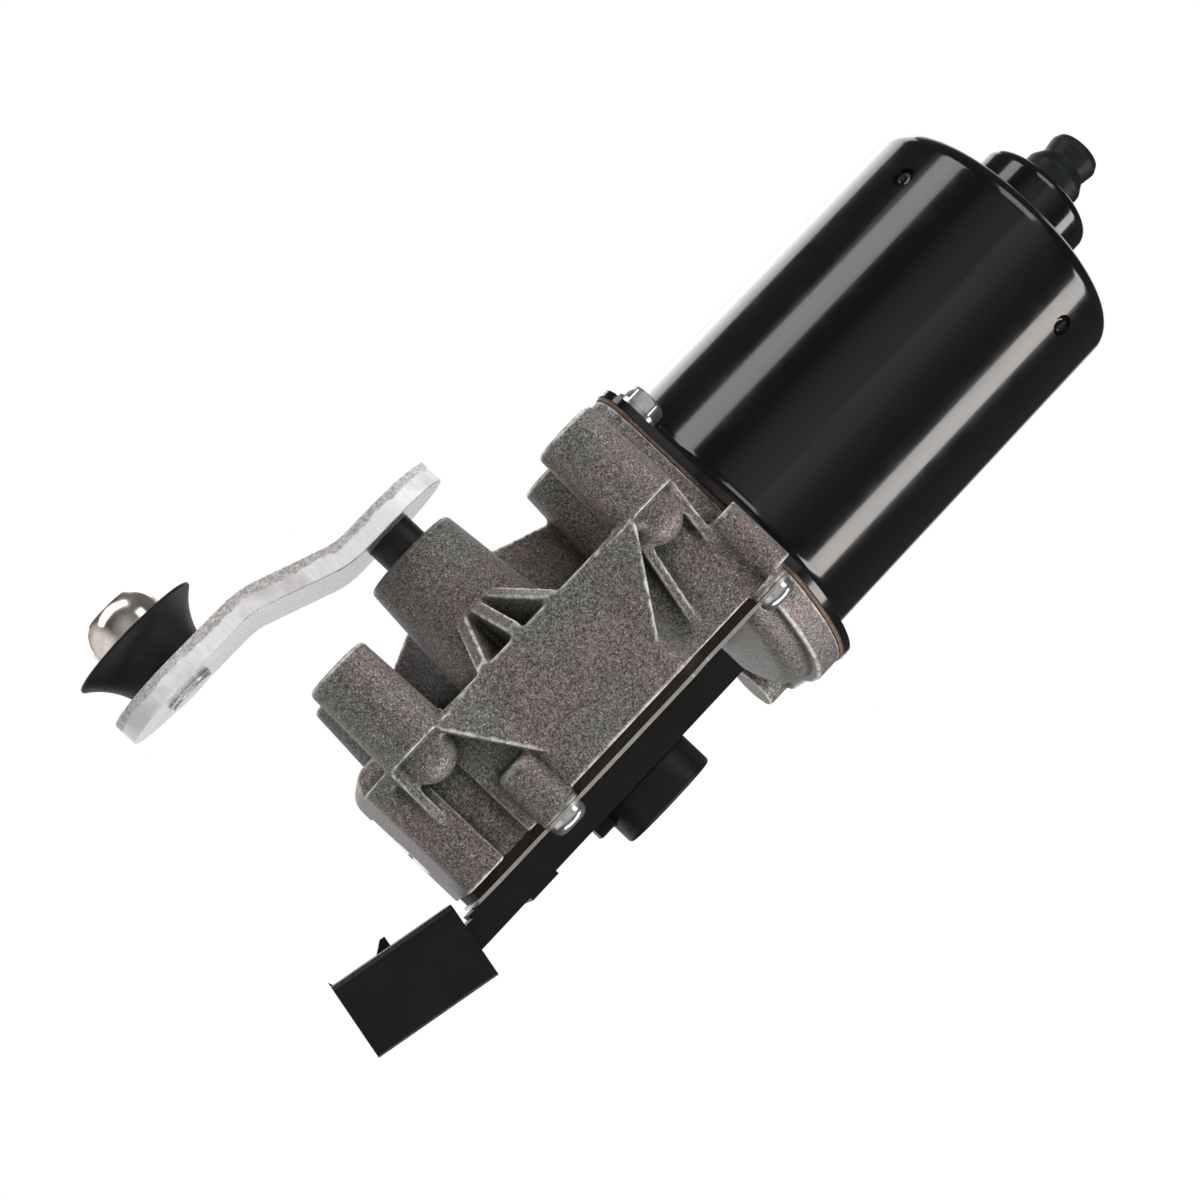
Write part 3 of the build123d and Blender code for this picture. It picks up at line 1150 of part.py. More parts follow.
def socket_box():
    length, width, height = SOCKET_LENGTH, SOCKET_WIDTH, SOCKET_HEIGHT
    box = Pos(length / 2, 0, 0) * Box(length, width, height)
    box = fillet(box.edges().filter_by(Axis.X).group_by(Axis.Z)[-1], SOCKET_EDGE_R)
    box = chamfer(box.edges().filter_by(Axis.X).group_by(Axis.Z)[0], SOCKET_CHAMFER)
    box -= Box(2 * SOCKET_DEPTH, width - 2 * SOCKET_WALL, height - 2 * SOCKET_WALL)
    top = height / 2
    low = top - MERGE
    peak = top + LATCH_RISE
    hook = [(LATCH_START, low), (LATCH_TIP, peak), (LATCH_END, peak), (LATCH_END, low)]
    box += side_plate(hook, -LATCH_WIDTH / 2, LATCH_WIDTH / 2)
    box += side_plate([(0, low), (0, top + LIP), (LIP, low)], -LATCH_WIDTH, LATCH_WIDTH)
    return in_socket(box)


def contact_carrier():
    half = CARRIER_WIDTH / 2
    left, right = CARRIER_LEFT_X, SHAFT_X + CARRIER_RIGHT
    tray = block(left, right, -half, half, CARRIER_Z, COVER_UNDER_Z)
    tray += block(left - NECK_LENGTH, left, -half, half, CARRIER_Z, COVER_UNDER_Z - NECK_STEP)
    tray += block(left + LEDGE_START, left + LEDGE_END, -half, half, CARRIER_Z - LEDGE_RISE, CARRIER_Z)
    wall = CARRIER_WALL
    tray -= block(left + wall, right - wall, -half + wall, half - wall, TRAY_Z, COVER_UNDER_Z + 1.0)
    tray -= rod_z(SHAFT_X, 0, CAP_R - CAP_WALL, CARRIER_Z - 1.0, COVER_UNDER_Z)
    tray += socket_box()
    for index in range(TERMINAL_COUNT):
        tray -= terminal_blade(index)
    return tray


def terminal_y(index):
    return (index - (TERMINAL_COUNT - 1) / 2) * TERMINAL_PITCH


def terminal_blade(index):
    """One flat terminal: it lies in the tray, bends down to the socket and stands in its mouth."""
    y = terminal_y(index)
    back = SOCKET_DEPTH - TERMINAL_LENGTH
    bend = SOCKET_LENGTH + TERMINAL_BEND
    blade = Pos((back + bend) / 2, y, 0) * Box(bend - back, TERMINAL_WIDTH, TERMINAL_THICKNESS)
    blade = in_socket(blade)
    half = TERMINAL_WIDTH / 2
    tail_x = SOCKET_X + (bend - TERMINAL_THICKNESS) * cos(radians(SOCKET_TILT))
    strip = block(tail_x, CARRIER_LEFT_X + TERMINAL_OVERLAP, y - half, y + half, TRAY_Z, TRAY_Z + TERMINAL_THICKNESS)
    return blade + strip


def contact_finger(index):
    """A sprung strip that reaches from its terminal down onto the rotor's track."""
    y = terminal_y(index + 1)
    sheet = CONTACT_SHEET
    half = TERMINAL_WIDTH / 2
    start = CARRIER_LEFT_X + TERMINAL_OVERLAP - FINGER_LAP
    edge = SHAFT_X - sqrt((CAP_R - CAP_WALL) ** 2 - (abs(y) + half) ** 2) + FINGER_CLEARANCE
    foot = edge + FINGER_LEAN
    rest = TRAY_Z + TERMINAL_THICKNESS
    low = RING_TOP_Z + CONTACT_GAP
    line = [
        (start, rest),
        (edge, rest),
        (foot, low),
        (foot + FINGER_FOOT, low),
        (foot + FINGER_FOOT, low + sheet),
        (foot + sheet, low + sheet),
        (edge + sheet, rest + sheet),
        (start, rest + sheet),
    ]
    return side_plate(line, y - half, y + half)


def park_switch_cap():
    cap = rod_z(SHAFT_X, 0, CAP_R, CAP_Z, CARRIER_Z)
    cap = fillet(cap.edges().sort_by(Axis.Z)[0], CAP_EDGE_R)
    cap -= rod_z(SHAFT_X, 0, CAP_R - CAP_WALL, CAP_Z + CAP_WALL, CARRIER_Z + CUT)
    side_x = SHAFT_X - CAP_R
    half = CLIP_WIDTH / 2
    return cap + block(side_x - CLIP_REACH, side_x + MERGE, -half, half, CARRIER_Z - CLIP_HEIGHT, CARRIER_Z)


# ---------------------------------------------------------------- write every piece
os.makedirs("parts", exist_ok=True)
save("gearbox_housing", gearbox_housing())
save("cover_plate", cover_plate())
save("cover_gasket", cover_gasket())
save("cover_screws", group(pan_screw(x, y) for x, y, _ in COLUMN_SPOTS))
save("motor_can", motor_can())
save("flange_gasket", flange_gasket())
save("motor_bolts", group(motor_bolt(y, z) for y, z in BOLT_SPOTS))
save("vent_nozzle", vent_nozzle())
save("field_magnets", group(field_magnet(turn) for turn in (0, 180)))
save("rear_bush", rear_bush())
save("bush_retainer", bush_retainer())
save("armature_shaft", armature_shaft())
save("lamination_stack", lamination_stack())
save("end_turns", group([end_turns(STACK_X - END_TURN, STACK_X), end_turns(STACK_END_X, STACK_END_X + END_TURN)]))
save("slot_windings", group(slot_winding(index) for index in range(SLOT_COUNT)))
save("commutator_segments", group(commutator_segment(index) for index in range(SLOT_COUNT)))
save("commutator_hub", commutator_hub())
save("bearing_outer_ring", bearing_outer())
save("bearing_inner_ring", bearing_inner())
save("bearing_balls", group(bearing_ball(index) for index in range(BEARING_BALLS)))
save("brush_plate", brush_plate())
save("brush_holders", group(brush_holder(side) for side in (-1, 1)))
save("brushes", group(brush(side) for side in (-1, 1)))
save("brush_springs", group(brush_spring(side) for side in (-1, 1)))
save("end_bush", end_bush())
save("thrust_adjuster", thrust_adjuster())
save("upper_shaft_bush", shaft_bush(TOWER_TOP - SEAL_DEPTH - BUSH_LENGTH))
save("lower_shaft_bush", shaft_bush(CEILING_Z))
save("shaft_seal", shaft_seal())
save("thrust_washer", thrust_washer())
save("worm_wheel", worm_wheel())
save("output_shaft", output_shaft())
save("park_rotor", park_rotor())
save("park_ring", park_ring())
save("crank_arm", crank_arm())
save("ball_stud", ball_stud())
save("ball_boot", ball_boot())
save("contact_carrier", contact_carrier())
save("terminal_blades", group(terminal_blade(index) for index in range(TERMINAL_COUNT)))
save("contact_fingers", group(contact_finger(index) for index in range(3)))
save("park_switch_cap", park_switch_cap())
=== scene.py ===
import json
import math

import bmesh
import bpy
import numpy as np
from mathutils import Matrix, Vector


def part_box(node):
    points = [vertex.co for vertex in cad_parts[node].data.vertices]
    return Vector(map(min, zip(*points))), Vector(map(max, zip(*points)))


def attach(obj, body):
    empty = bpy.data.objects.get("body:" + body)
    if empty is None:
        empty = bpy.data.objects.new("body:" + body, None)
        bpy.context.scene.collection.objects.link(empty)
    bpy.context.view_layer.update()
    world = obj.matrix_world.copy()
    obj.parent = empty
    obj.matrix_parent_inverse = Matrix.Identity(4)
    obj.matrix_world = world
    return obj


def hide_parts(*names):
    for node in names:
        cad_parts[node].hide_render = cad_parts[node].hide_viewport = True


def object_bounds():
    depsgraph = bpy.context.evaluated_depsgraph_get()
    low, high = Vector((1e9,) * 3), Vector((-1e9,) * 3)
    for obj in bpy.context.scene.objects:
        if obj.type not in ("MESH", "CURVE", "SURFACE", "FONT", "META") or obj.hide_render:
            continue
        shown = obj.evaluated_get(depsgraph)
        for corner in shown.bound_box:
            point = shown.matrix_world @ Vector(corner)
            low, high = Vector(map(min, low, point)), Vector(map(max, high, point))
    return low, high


# The looks of the wiper motor: softened copies of the CAD pieces that can be seen, finished with procedural
# materials. Lengths are in metres, in the part's own frame: +Z along the output shaft towards the crank, and
# +X along the motor towards the closed end of its can.

MM = 0.001

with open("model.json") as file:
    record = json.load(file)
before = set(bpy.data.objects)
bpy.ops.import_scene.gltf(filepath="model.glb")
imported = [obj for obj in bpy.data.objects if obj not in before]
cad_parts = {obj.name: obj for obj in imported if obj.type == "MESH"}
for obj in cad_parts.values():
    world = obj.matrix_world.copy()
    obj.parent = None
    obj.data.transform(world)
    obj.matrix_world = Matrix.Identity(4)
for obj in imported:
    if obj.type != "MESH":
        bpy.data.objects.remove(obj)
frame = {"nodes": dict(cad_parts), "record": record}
cad_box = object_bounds()

BODIES = frame["record"]["behaviour"]["bodies"]
BODY_OF = {node: body for body, nodes in BODIES.items() for node in nodes}
SLOT_OF = {part["node"]: part["material_slot"] for part in frame["record"]["subparts"]}

# ---------------------------------------------------------------- sizes of the softened copies
# CAD points nearer than this are joined, and faces that meet at a smaller angle (degrees) are made one
JOIN_REACH = 0.002 * MM
FLAT_ANGLE = 0.6
# edges that turn by more than these angles (degrees) are drawn sharp, and are rounded off
SHARP_ANGLE = 32
ROUNDED_ANGLE = 28
# how wide each piece's edges are rounded, and in how many steps
ROUNDINGS = {
    "motor_can": (0.35 * MM, 3),
    "motor_bolts": (0.2 * MM, 3),
    "cover_screws": (0.15 * MM, 3),
    "cover_plate": (0.15 * MM, 3),
    "contact_carrier": (0.25 * MM, 3),
    "park_switch_cap": (0.4 * MM, 3),
    "vent_nozzle": (0.4 * MM, 3),
    "ball_boot": (0.15 * MM, 3),
    "ball_stud": (0.3 * MM, 3),
    "output_shaft": (0.2 * MM, 2),
    "cover_gasket": (0.15 * MM, 2),
    "flange_gasket": (0.1 * MM, 2),
}
ARM_ROUNDING = (0.3 * MM, 3)
# height of the ball stud's riveted foot, which is plated like the arm
RIVET_FOOT = 2.0 * MM

# the casting's surface is made again from cubes of this size, and its points are then eased this many times
CAST_VOXEL = 0.45 * MM
CAST_EASE = 3
# a point this far outside its neighbours' mean lies on the sharpest edge, and gets the full edge wear and
# painted highlight
SHARPEST_EDGE = 0.06 * MM
# a point this far below its surroundings' mean lies in the deepest hollow and gets the full painted shade,
# and how many edges off they reach
DEEPEST_HOLLOW = 0.6 * MM
HOLLOW_REACH = 50

# names of the values that the materials read at each point of a mesh
# edge wear together with painted highlight along sharp edges
EDGE_WEAR_AND_HIGHLIGHT = "edge_wear_and_highlight"
# painted shade: how deep each point lies in a hollow
HOLLOW_SHADE = "hollow"
EDGE_LEVEL = "edge_level"

# ---------------------------------------------------------------- camera, floor and lights
# The camera stands level with the casting, a little left of the output shaft, and is rolled so that the motor
# runs up to the right. Its place, and the directions that run right and down in the picture.
CAMERA_PLACE = Vector((-71.17, -556.99, -36.43)) * MM
CAMERA_RIGHT = Vector((0.68051179, -0.09154869, -0.72699556))
CAMERA_DOWN = Vector((-0.71641042, 0.12514767, -0.686363))
CAMERA_LENS = 90.0
CAMERA_SENSOR = 36.0
CAMERA_CLIP_END = 50.0

# how far the floor lies below the object and reaches to each side, and how brightly the camera sees it glow
FLOOR_DROP = 450 * MM
FLOOR_REACH = 6.0
FLOOR_GLOW = 0.9
# its colour as it is, and in reflections
FLOOR_PAINT = (0.85, 0.85, 0.85)
MIRRORED_FLOOR_PAINT = (0.04, 0.04, 0.04)
# brightness of the floor in reflections, by how far behind the object it is (metres)
MIRRORED_FLOOR_TONES = [(-2.5, 0.42), (-1.2, 0.3), (-0.8, 0.15), (-0.4, 0.0), (1.2, 0.0), (2.6, 1.0)]

# brightness of the room, from straight in front of the object (0) to straight behind it (1)
AMBIENT_TONES = [(0.0, 0.17), (0.4, 0.17), (0.75, 0.75), (1.0, 1.0)]
MIRRORED_TONES = [(0.0, 0.45), (0.03, 0.3), (0.12, 0.05), (0.78, 0.05), (0.95, 1.0)]
# brightness of what is mirrored beyond the ball, and the direction's X where that starts and where it is full
MIRRORED_END = 0.9
MIRRORED_END_START = -0.45
MIRRORED_END_FULL = -0.85

LIGHT_TARGET = Vector((40, 26, -32)) * MM
WARM = (1.0, 0.965, 0.93)
COOL = (0.95, 0.96, 1.0)
# name, rise from the horizon and turn from the front towards the motor (degrees), distance, width and height,
# brightness, tint, and whether polished surfaces mirror it
LAMPS = [
    ("upper_strip", 67, 0, 0.8, (1.2, 0.3), 3.0, WARM, True),
    ("lower_strip", -76, 0, 0.42, (0.8, 0.13), 5.6, WARM, True),
    ("rim_panel", 37, 180, 0.9, (1.4, 0.66), 1.7, COOL, True),
    ("front_panel", 2, 28, 0.9, (0.6, 0.6), 1.9, WARM, False),
    ("front_right", 4, 56, 0.9, (0.4, 0.4), 2.2, WARM, True),
    ("right_rim", 35, 100, 0.9, (0.8, 0.8), 3.2, COOL, False),
]


# ---------------------------------------------------------------- node trees
class Nodes:
    """A node tree, and short ways to add nodes to it. A value is a node's output, a number or a colour."""

    # most of a noise's values lie between these
    MIDDLE = (0.3, 0.7)

    def __init__(self, tree):
        self.tree = tree

    def node(self, kind, **settings):
        made = self.tree.nodes.new(kind)
        for key, value in settings.items():
            setattr(made, key, value)
        return made

    def feed(self, socket, value):
        if isinstance(value, tuple):
            socket.default_value = (*value, 1.0)
        elif isinstance(value, (int, float)):
            socket.default_value = value
        else:
            self.tree.links.new(value, socket)

    def maths(self, operation, *values):
        made = self.node("ShaderNodeMath", operation=operation)
        for socket, value in zip(made.inputs, values):
            self.feed(socket, value)
        return made.outputs[0]

    def blend(self, factor, first, second, mode="MIX"):
        made = self.node("ShaderNodeMix", data_type="RGBA", blend_type=mode)
        self.feed(made.inputs["Factor"], factor)
        self.feed(made.inputs["A"], first)
        self.feed(made.inputs["B"], second)
        return made.outputs["Result"]

    def times(self, first, second):
        return self.blend(1.0, first, second, "MULTIPLY")

    def spread(self, source, low=0.0, high=1.0, within=MIDDLE):
        """Turns the source's values, from one end of a range to the other, into values from low to high."""
        made = self.node("ShaderNodeMapRange")
        made.inputs["From Min"].default_value = within[0]
        made.inputs["From Max"].default_value = within[1]
        made.inputs["To Min"].default_value = low
        made.inputs["To Max"].default_value = high
        self.feed(made.inputs["Value"], source)
        return made.outputs["Result"]

    def ramp(self, source, stops):
        """A colour or a grey that changes evenly between stops, each a source value and what it gives."""
        made = self.node("ShaderNodeValToRGB")
        elements = made.color_ramp.elements
        while len(elements) < len(stops):
            elements.new(0.5)
        for element, (at, colour) in zip(elements, stops):
            element.position = at
            element.color = (*colour, 1.0) if isinstance(colour, tuple) else (colour, colour, colour, 1.0)
        self.feed(made.inputs["Fac"], source)
        return made.outputs["Color"]

    def axes(self, source):
        """The X, Y and Z of a place or direction."""
        made = self.node("ShaderNodeSeparateXYZ")
        self.feed(made.inputs[0], source)
        return made.outputs

    def background(self, colour):
        made = self.node("ShaderNodeBackground")
        self.feed(made.inputs["Color"], colour)
        return made.outputs[0]

    def either(self, factor, first, second):
        """A blend of two shaders."""
        made = self.node("ShaderNodeMixShader")
        for socket, value in zip(made.inputs, (factor, first, second)):
            self.feed(socket, value)
        return made.outputs[0]


class Look(Nodes):
    """A procedural material: a Principled shader, fed by patterns that lie still in the piece."""

    def __init__(self, name, base, roughness, metallic=0.0):
        self.material = bpy.data.materials.new(name)
        self.material.use_nodes = True
        super().__init__(self.material.node_tree)
        self.shader = self.tree.nodes["Principled BSDF"]
        self.shader.inputs["Base Color"].default_value = (*base, 1.0)
        self.shader.inputs["Roughness"].default_value = roughness
        self.shader.inputs["Metallic"].default_value = metallic
        self.place = self.node("ShaderNodeTexCoord").outputs["Object"]

    def noise(self, size, detail=4.0, rough=0.5, along=None):
        """Noise whose blobs are about size metres across, and longer on an axis where along is under 1."""
        made = self.node("ShaderNodeTexNoise")
        made.inputs["Scale"].default_value = 1.0 / size
        made.inputs["Detail"].default_value = detail
        made.inputs["Roughness"].default_value = rough
        place = self.place
        if along:
            mapping = self.node("ShaderNodeMapping")
            mapping.inputs["Scale"].default_value = along
            self.feed(mapping.inputs["Vector"], place)
            place = mapping.outputs["Vector"]
        self.feed(made.inputs["Vector"], place)
        return made.outputs["Fac"]

    def attribute(self, name):
        """A number that the mesh carries at each of its points."""
        return self.node("ShaderNodeAttribute", attribute_name=name).outputs["Fac"]

    def colour(self, source):
        self.feed(self.shader.inputs["Base Color"], source)

    def roughness(self, source):
        self.feed(self.shader.inputs["Roughness"], source)

    def bump(self, source, height, strength=1.0, under=None):
        """Raises the surface by the source, on top of another bump where one is given."""
        made = self.node("ShaderNodeBump")
        made.inputs["Distance"].default_value = height
        made.inputs["Strength"].default_value = strength
        self.feed(made.inputs["Height"], source)
        if under is not None:
            self.feed(made.inputs["Normal"], under)
        self.feed(self.shader.inputs["Normal"], made.outputs["Normal"])
        return made.outputs["Normal"]


# ---------------------------------------------------------------- materials
def cast_alloy(name):
    """Shot-blasted die-cast aluminium: warm and greenish grey in patches, with painted shade in hollows, and
    edges worn bright with painted highlights.
    """
    look = Look(name, (0.13, 0.115, 0.108), 0.5, 0.35)
    cloud = look.noise(13 * MM, 3.0)
    coarse = look.noise(0.9 * MM, 3.0, 0.7)
    grain = look.noise(0.36 * MM, 2.0, 0.7)
    speck = look.noise(0.34 * MM, 1.0)
    tone = look.ramp(cloud, [(0.38, (0.195, 0.156, 0.154)), (0.62, (0.158, 0.163, 0.15))])
    coarse_tone = look.blend(look.spread(coarse, within=(0.32, 0.68)), (0.6, 0.59, 0.58), (1.32, 1.32, 1.32))
    fine_tone = look.blend(look.spread(grain, within=(0.36, 0.64)), (0.28, 0.27, 0.26), (1.75, 1.75, 1.75))
    tone = look.times(look.times(tone, coarse_tone), fine_tone)
    tone = look.blend(look.spread(speck, 0.0, 0.8, (0.63, 0.72)), tone, (0.62, 0.62, 0.6))
    # painted shade: hollows darkened to about two fifths of the tone
    tone = look.blend(look.attribute(HOLLOW_SHADE), tone, look.times(tone, (0.4, 0.43, 0.39)))
    # edge wear and painted highlight: sharp edges lightened, broken up in patches
    sharp = look.spread(look.attribute(EDGE_WEAR_AND_HIGHLIGHT), within=(0.32, 1.0))
    worn_and_lit_patches = look.spread(look.noise(2.2 * MM, 3.0, 0.7), 0.2, 1.0, (0.35, 0.58))
    look.colour(look.blend(look.maths("MULTIPLY", sharp, worn_and_lit_patches), tone, (0.84, 0.86, 0.81)))
    look.roughness(look.spread(grain, 0.4, 0.6))
    pitted = look.bump(coarse, 0.12 * MM, 0.6)
    look.bump(grain, 0.07 * MM, 0.9, pitted)
    return look.material


def black_paint(name):
    """Glossy black enamel, with a slight waviness."""
    look = Look(name, (0.004, 0.004, 0.005), 0.14)
    look.shader.inputs["Coat Weight"].default_value = 0.6
    look.shader.inputs["Coat Roughness"].default_value = 0.06
    look.roughness(look.spread(look.noise(6 * MM, 2.0), 0.12, 0.19))
    look.bump(look.noise(2.4 * MM, 2.0), 0.008 * MM, 0.3)
    return look.material


def zinc_plate(name, base, tint, streak, roughness, metallic):
    """Bright zinc plating, tinted in patches, with a fine grain that streak draws out along an axis."""
    look = Look(name, base, roughness, metallic)
    fine = look.noise(0.5 * MM, 4.0, 0.6, streak)
    tone = look.blend(look.spread(look.noise(7 * MM, 3.0)), base, tint)
    shade = look.blend(look.spread(fine), (0.84, 0.84, 0.84), (1.05, 1.05, 1.05))
    look.colour(look.times(tone, shade))
    look.roughness(look.spread(fine, roughness - 0.03, roughness + 0.06))
    look.bump(fine, 0.002 * MM, 0.5)
    return look.material


def sheared_edge(name):
    """The cut edge of the arm: a bright, scratched band, and a darker one on top where the metal tore."""
    look = Look(name, (0.8, 0.8, 0.8), 0.4)
    scratch = look.noise(0.3 * MM, 3.0, 0.6, (1.0, 1.0, 0.1))
    tear = look.noise(0.4 * MM, 4.0, 0.7, (0.6, 0.6, 1.0))
    border = look.maths("MULTIPLY_ADD", look.noise(5 * MM, 3.0, 0.7), 0.5, look.attribute(EDGE_LEVEL))
    torn = look.spread(border, within=(0.86, 0.94))
    shade = look.ramp(look.noise(9 * MM, 3.0), [(0.36, (0.74, 0.72, 0.73)), (0.52, (1.0, 1.0, 1.0))])
    scratched = look.ramp(scratch, [(0.3, (0.84, 0.85, 0.86)), (0.7, (1.0, 1.0, 1.0))])
    ragged_tones = [(0.34, (0.3, 0.29, 0.29)), (0.52, (0.56, 0.54, 0.54)), (0.7, (0.84, 0.83, 0.83))]
    look.colour(look.blend(torn, look.times(scratched, shade), look.ramp(tear, ragged_tones)))
    look.roughness(look.spread(torn, 0.34, 0.55, (0.0, 1.0)))
    fine = look.bump(scratch, 0.03 * MM, 0.6)
    look.bump(look.blend(torn, (0.5, 0.5, 0.5), tear), 0.2 * MM, 0.6, fine)
    return look.material


def chrome(name):
    """The polished ball stud, with a warm cast in patches that paints in warm reflections."""
    look = Look(name, (0.78, 0.72, 0.67), 0.16, 0.9)
    cloud = look.noise(3 * MM, 2.0)
    # painted reflection: brown and pale patches in the colour
    look.colour(look.ramp(cloud, [(0.35, (0.68, 0.57, 0.5)), (0.65, (0.86, 0.81, 0.76))]))
    look.roughness(look.spread(cloud, 0.1, 0.22))
    look.bump(look.noise(1.4 * MM, 2.0), 0.012 * MM, 0.4)
    return look.material


def dark_steel(name):
    """Blackened steel, with fine turning marks around the shaft."""
    look = Look(name, (0.02, 0.02, 0.021), 0.42, 0.4)
    fine = look.noise(0.5 * MM, 3.0, 0.6, (1.0, 1.0, 3.0))
    look.colour(look.ramp(fine, [(0.3, (0.01, 0.01, 0.011)), (0.75, (0.035, 0.035, 0.037))]))
    look.roughness(look.spread(fine, 0.33, 0.52))
    look.bump(fine, 0.015 * MM, 0.5)
    return look.material


def black_rubber(name):
    """Moulded rubber, cloudy, with a cold cast."""
    look = Look(name, (0.01, 0.011, 0.012), 0.5)
    look.shader.inputs["Specular IOR Level"].default_value = 0.3
    cloud = look.noise(5 * MM, 3.0)
    look.colour(look.ramp(cloud, [(0.3, (0.004, 0.006, 0.007)), (0.7, (0.008, 0.011, 0.013))]))
    look.roughness(look.spread(cloud, 0.42, 0.56))
    look.bump(look.noise(0.35 * MM, 2.0), 0.02 * MM, 0.4)
    return look.material


def black_plastic(name):
    """Moulded black plastic, with a fine grain."""
    look = Look(name, (0.007, 0.007, 0.008), 0.4)
    look.shader.inputs["Specular IOR Level"].default_value = 0.3
    cloud = look.noise(9 * MM, 3.0)
    look.colour(look.ramp(cloud, [(0.3, (0.004, 0.004, 0.004)), (0.7, (0.008, 0.008, 0.008))]))
    look.roughness(look.spread(look.noise(2 * MM, 3.0), 0.34, 0.5))
    look.bump(look.noise(0.3 * MM, 2.0), 0.015 * MM, 0.4)
    return look.material


def fibre(name, dark, pale):
    """Pressed gasket board, speckled and rough."""
    look = Look(name, dark, 0.75)
    fine = look.noise(0.5 * MM, 4.0, 0.7)
    look.colour(look.ramp(fine, [(0.35, dark), (0.7, pale)]))
    look.bump(fine, 0.05 * MM, 0.8)
    return look.material


def plain_metal(name, base, roughness, size=0.6 * MM):
    """A bare metal of the inside, with a fine grain."""
    look = Look(name, base, roughness, 1.0)
    fine = look.noise(size, 3.0, 0.6)
    dark = tuple(0.75 * c for c in base)
    look.colour(look.blend(look.spread(fine), dark, base))
    look.roughness(look.spread(fine, roughness - 0.06, roughness + 0.1))
    look.bump(fine, 0.01 * MM, 0.4)
    return look.material


def plain_dull(name, base, roughness):
    """A dull material of the inside, with a fine grain."""
    look = Look(name, base, roughness)
    fine = look.noise(0.8 * MM, 3.0, 0.6)
    dark = tuple(0.7 * c for c in base)
    look.colour(look.blend(look.spread(fine), dark, base))
    look.bump(fine, 0.02 * MM, 0.4)
    return look.material


# how each material slot of the record is made, and from which colours and finish
RECIPES = {
    "cast_alloy": (cast_alloy,),
    "black_paint": (black_paint,),
    "zinc_sheet": (zinc_plate, (0.5, 0.5, 0.5), (0.52, 0.47, 0.41), (0.3, 1.0, 1.0), 0.3, 0.65),
    "zinc_fastener": (zinc_plate, (0.86, 0.87, 0.88), (0.76, 0.78, 0.8), (1.0, 1.0, 1.0), 0.2, 0.92),
    "zinc_arm": (zinc_plate, (0.9, 0.94, 0.93), (0.95, 0.96, 0.95), (0.12, 1.0, 1.0), 0.26, 0.65),
    "bright_chrome": (chrome,),
    "dark_steel": (dark_steel,),
    "black_rubber": (black_rubber,),
    "black_plastic": (black_plastic,),
    "brown_gasket": (fibre, (0.06, 0.035, 0.024), (0.24, 0.15, 0.11)),
    "bearing_steel": (plain_metal, (0.62, 0.63, 0.64), 0.22),
    "core_steel": (plain_metal, (0.3, 0.31, 0.33), 0.4),
    "spring_steel": (plain_metal, (0.5, 0.5, 0.51), 0.3),
    "bronze": (plain_metal, (0.5, 0.33, 0.18), 0.45),
    "brass": (plain_metal, (0.78, 0.6, 0.28), 0.28),
    "copper": (plain_metal, (0.75, 0.4, 0.25), 0.25),
    "copper_wire": (plain_metal, (0.5, 0.2, 0.08), 0.3, 1.0 * MM),
    "ferrite": (plain_dull, (0.07, 0.07, 0.075), 0.6),
    "carbon": (plain_dull, (0.04, 0.04, 0.04), 0.6),
    "white_plastic": (plain_dull, (0.75, 0.72, 0.64), 0.45),
    "brown_laminate": (plain_dull, (0.2, 0.1, 0.055), 0.45),
}
SHEARED = sheared_edge("sheared_edge")
LOOKS = {slot: make(slot, *finish) for slot, (make, *finish) in RECIPES.items()}
# the cover's gasket is coloured nearly black, far darker than the motor's
DARK_COVER_GASKET = fibre("dark_cover_gasket", (0.008, 0.005, 0.004), (0.045, 0.022, 0.016))


def dress_nodes():
    """Gives each CAD node its material, which the copies then take over."""
    for name, node in frame["nodes"].items():
        node.data.materials.clear()
        node.data.materials.append(DARK_COVER_GASKET if name == "cover_gasket" else LOOKS[SLOT_OF[name]])


# ---------------------------------------------------------------- softened copies of the CAD pieces
def place_piece(piece, node):
    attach(piece, BODY_OF[node])
    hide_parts(node)


def copied(node):
    """A new mesh object in the node's place, its faces joined up and its flat areas made whole."""
    source = frame["nodes"][node]
    mesh = source.data.copy()
    shape = bmesh.new()
    shape.from_mesh(mesh)
    bmesh.ops.remove_doubles(shape, verts=shape.verts, dist=JOIN_REACH)
    flat = math.radians(FLAT_ANGLE)
    bmesh.ops.dissolve_limit(shape, angle_limit=flat, verts=shape.verts, edges=shape.edges)
    shape.to_mesh(mesh)
    shape.free()
    if "custom_normal" in mesh.attributes:
        mesh.attributes.remove(mesh.attributes["custom_normal"])
    piece = bpy.data.objects.new(node + "_finished", mesh)
    piece.matrix_world = source.matrix_world.copy()
    bpy.context.scene.collection.objects.link(piece)
    return piece


def round_edges(piece, width, steps):
    """Shades the piece smoothly between its edges, and rounds them off."""
    for face in piece.data.polygons:
        face.use_smooth = True
    piece.data.set_sharp_from_angle(angle=math.radians(SHARP_ANGLE))
    edge = piece.modifiers.new("edge", "BEVEL")
    edge.width = width
    edge.segments = steps
    edge.limit_method = "ANGLE"
    edge.angle_limit = math.radians(ROUNDED_ANGLE)
    edge.harden_normals = True
    edge.use_clamp_overlap = True


def softened(node, width, steps):
    piece = copied(node)
    round_edges(piece, width, steps)
    place_piece(piece, node)
    return piece


def made_real(piece):
    """Turns the piece's modifiers into plain mesh, so that values can be worked out on its points."""
    bpy.context.view_layer.update()
    whole = piece.evaluated_get(bpy.context.evaluated_depsgraph_get())
    piece.data = bpy.data.meshes.new_from_object(whole)
    piece.modifiers.clear()


def neighbour_mean(places, first, second):
    """The mean place of each point's neighbours. First and second are the points at each edge's two ends."""
    count = np.bincount(first, minlength=len(places)) + np.bincount(second, minlength=len(places))
    mean = np.empty_like(places)
    for axis in range(places.shape[1]):
        total = np.bincount(first, places[second, axis], len(places))
        total += np.bincount(second, places[first, axis], len(places))
        mean[:, axis] = total / np.maximum(count, 1)
    return mean


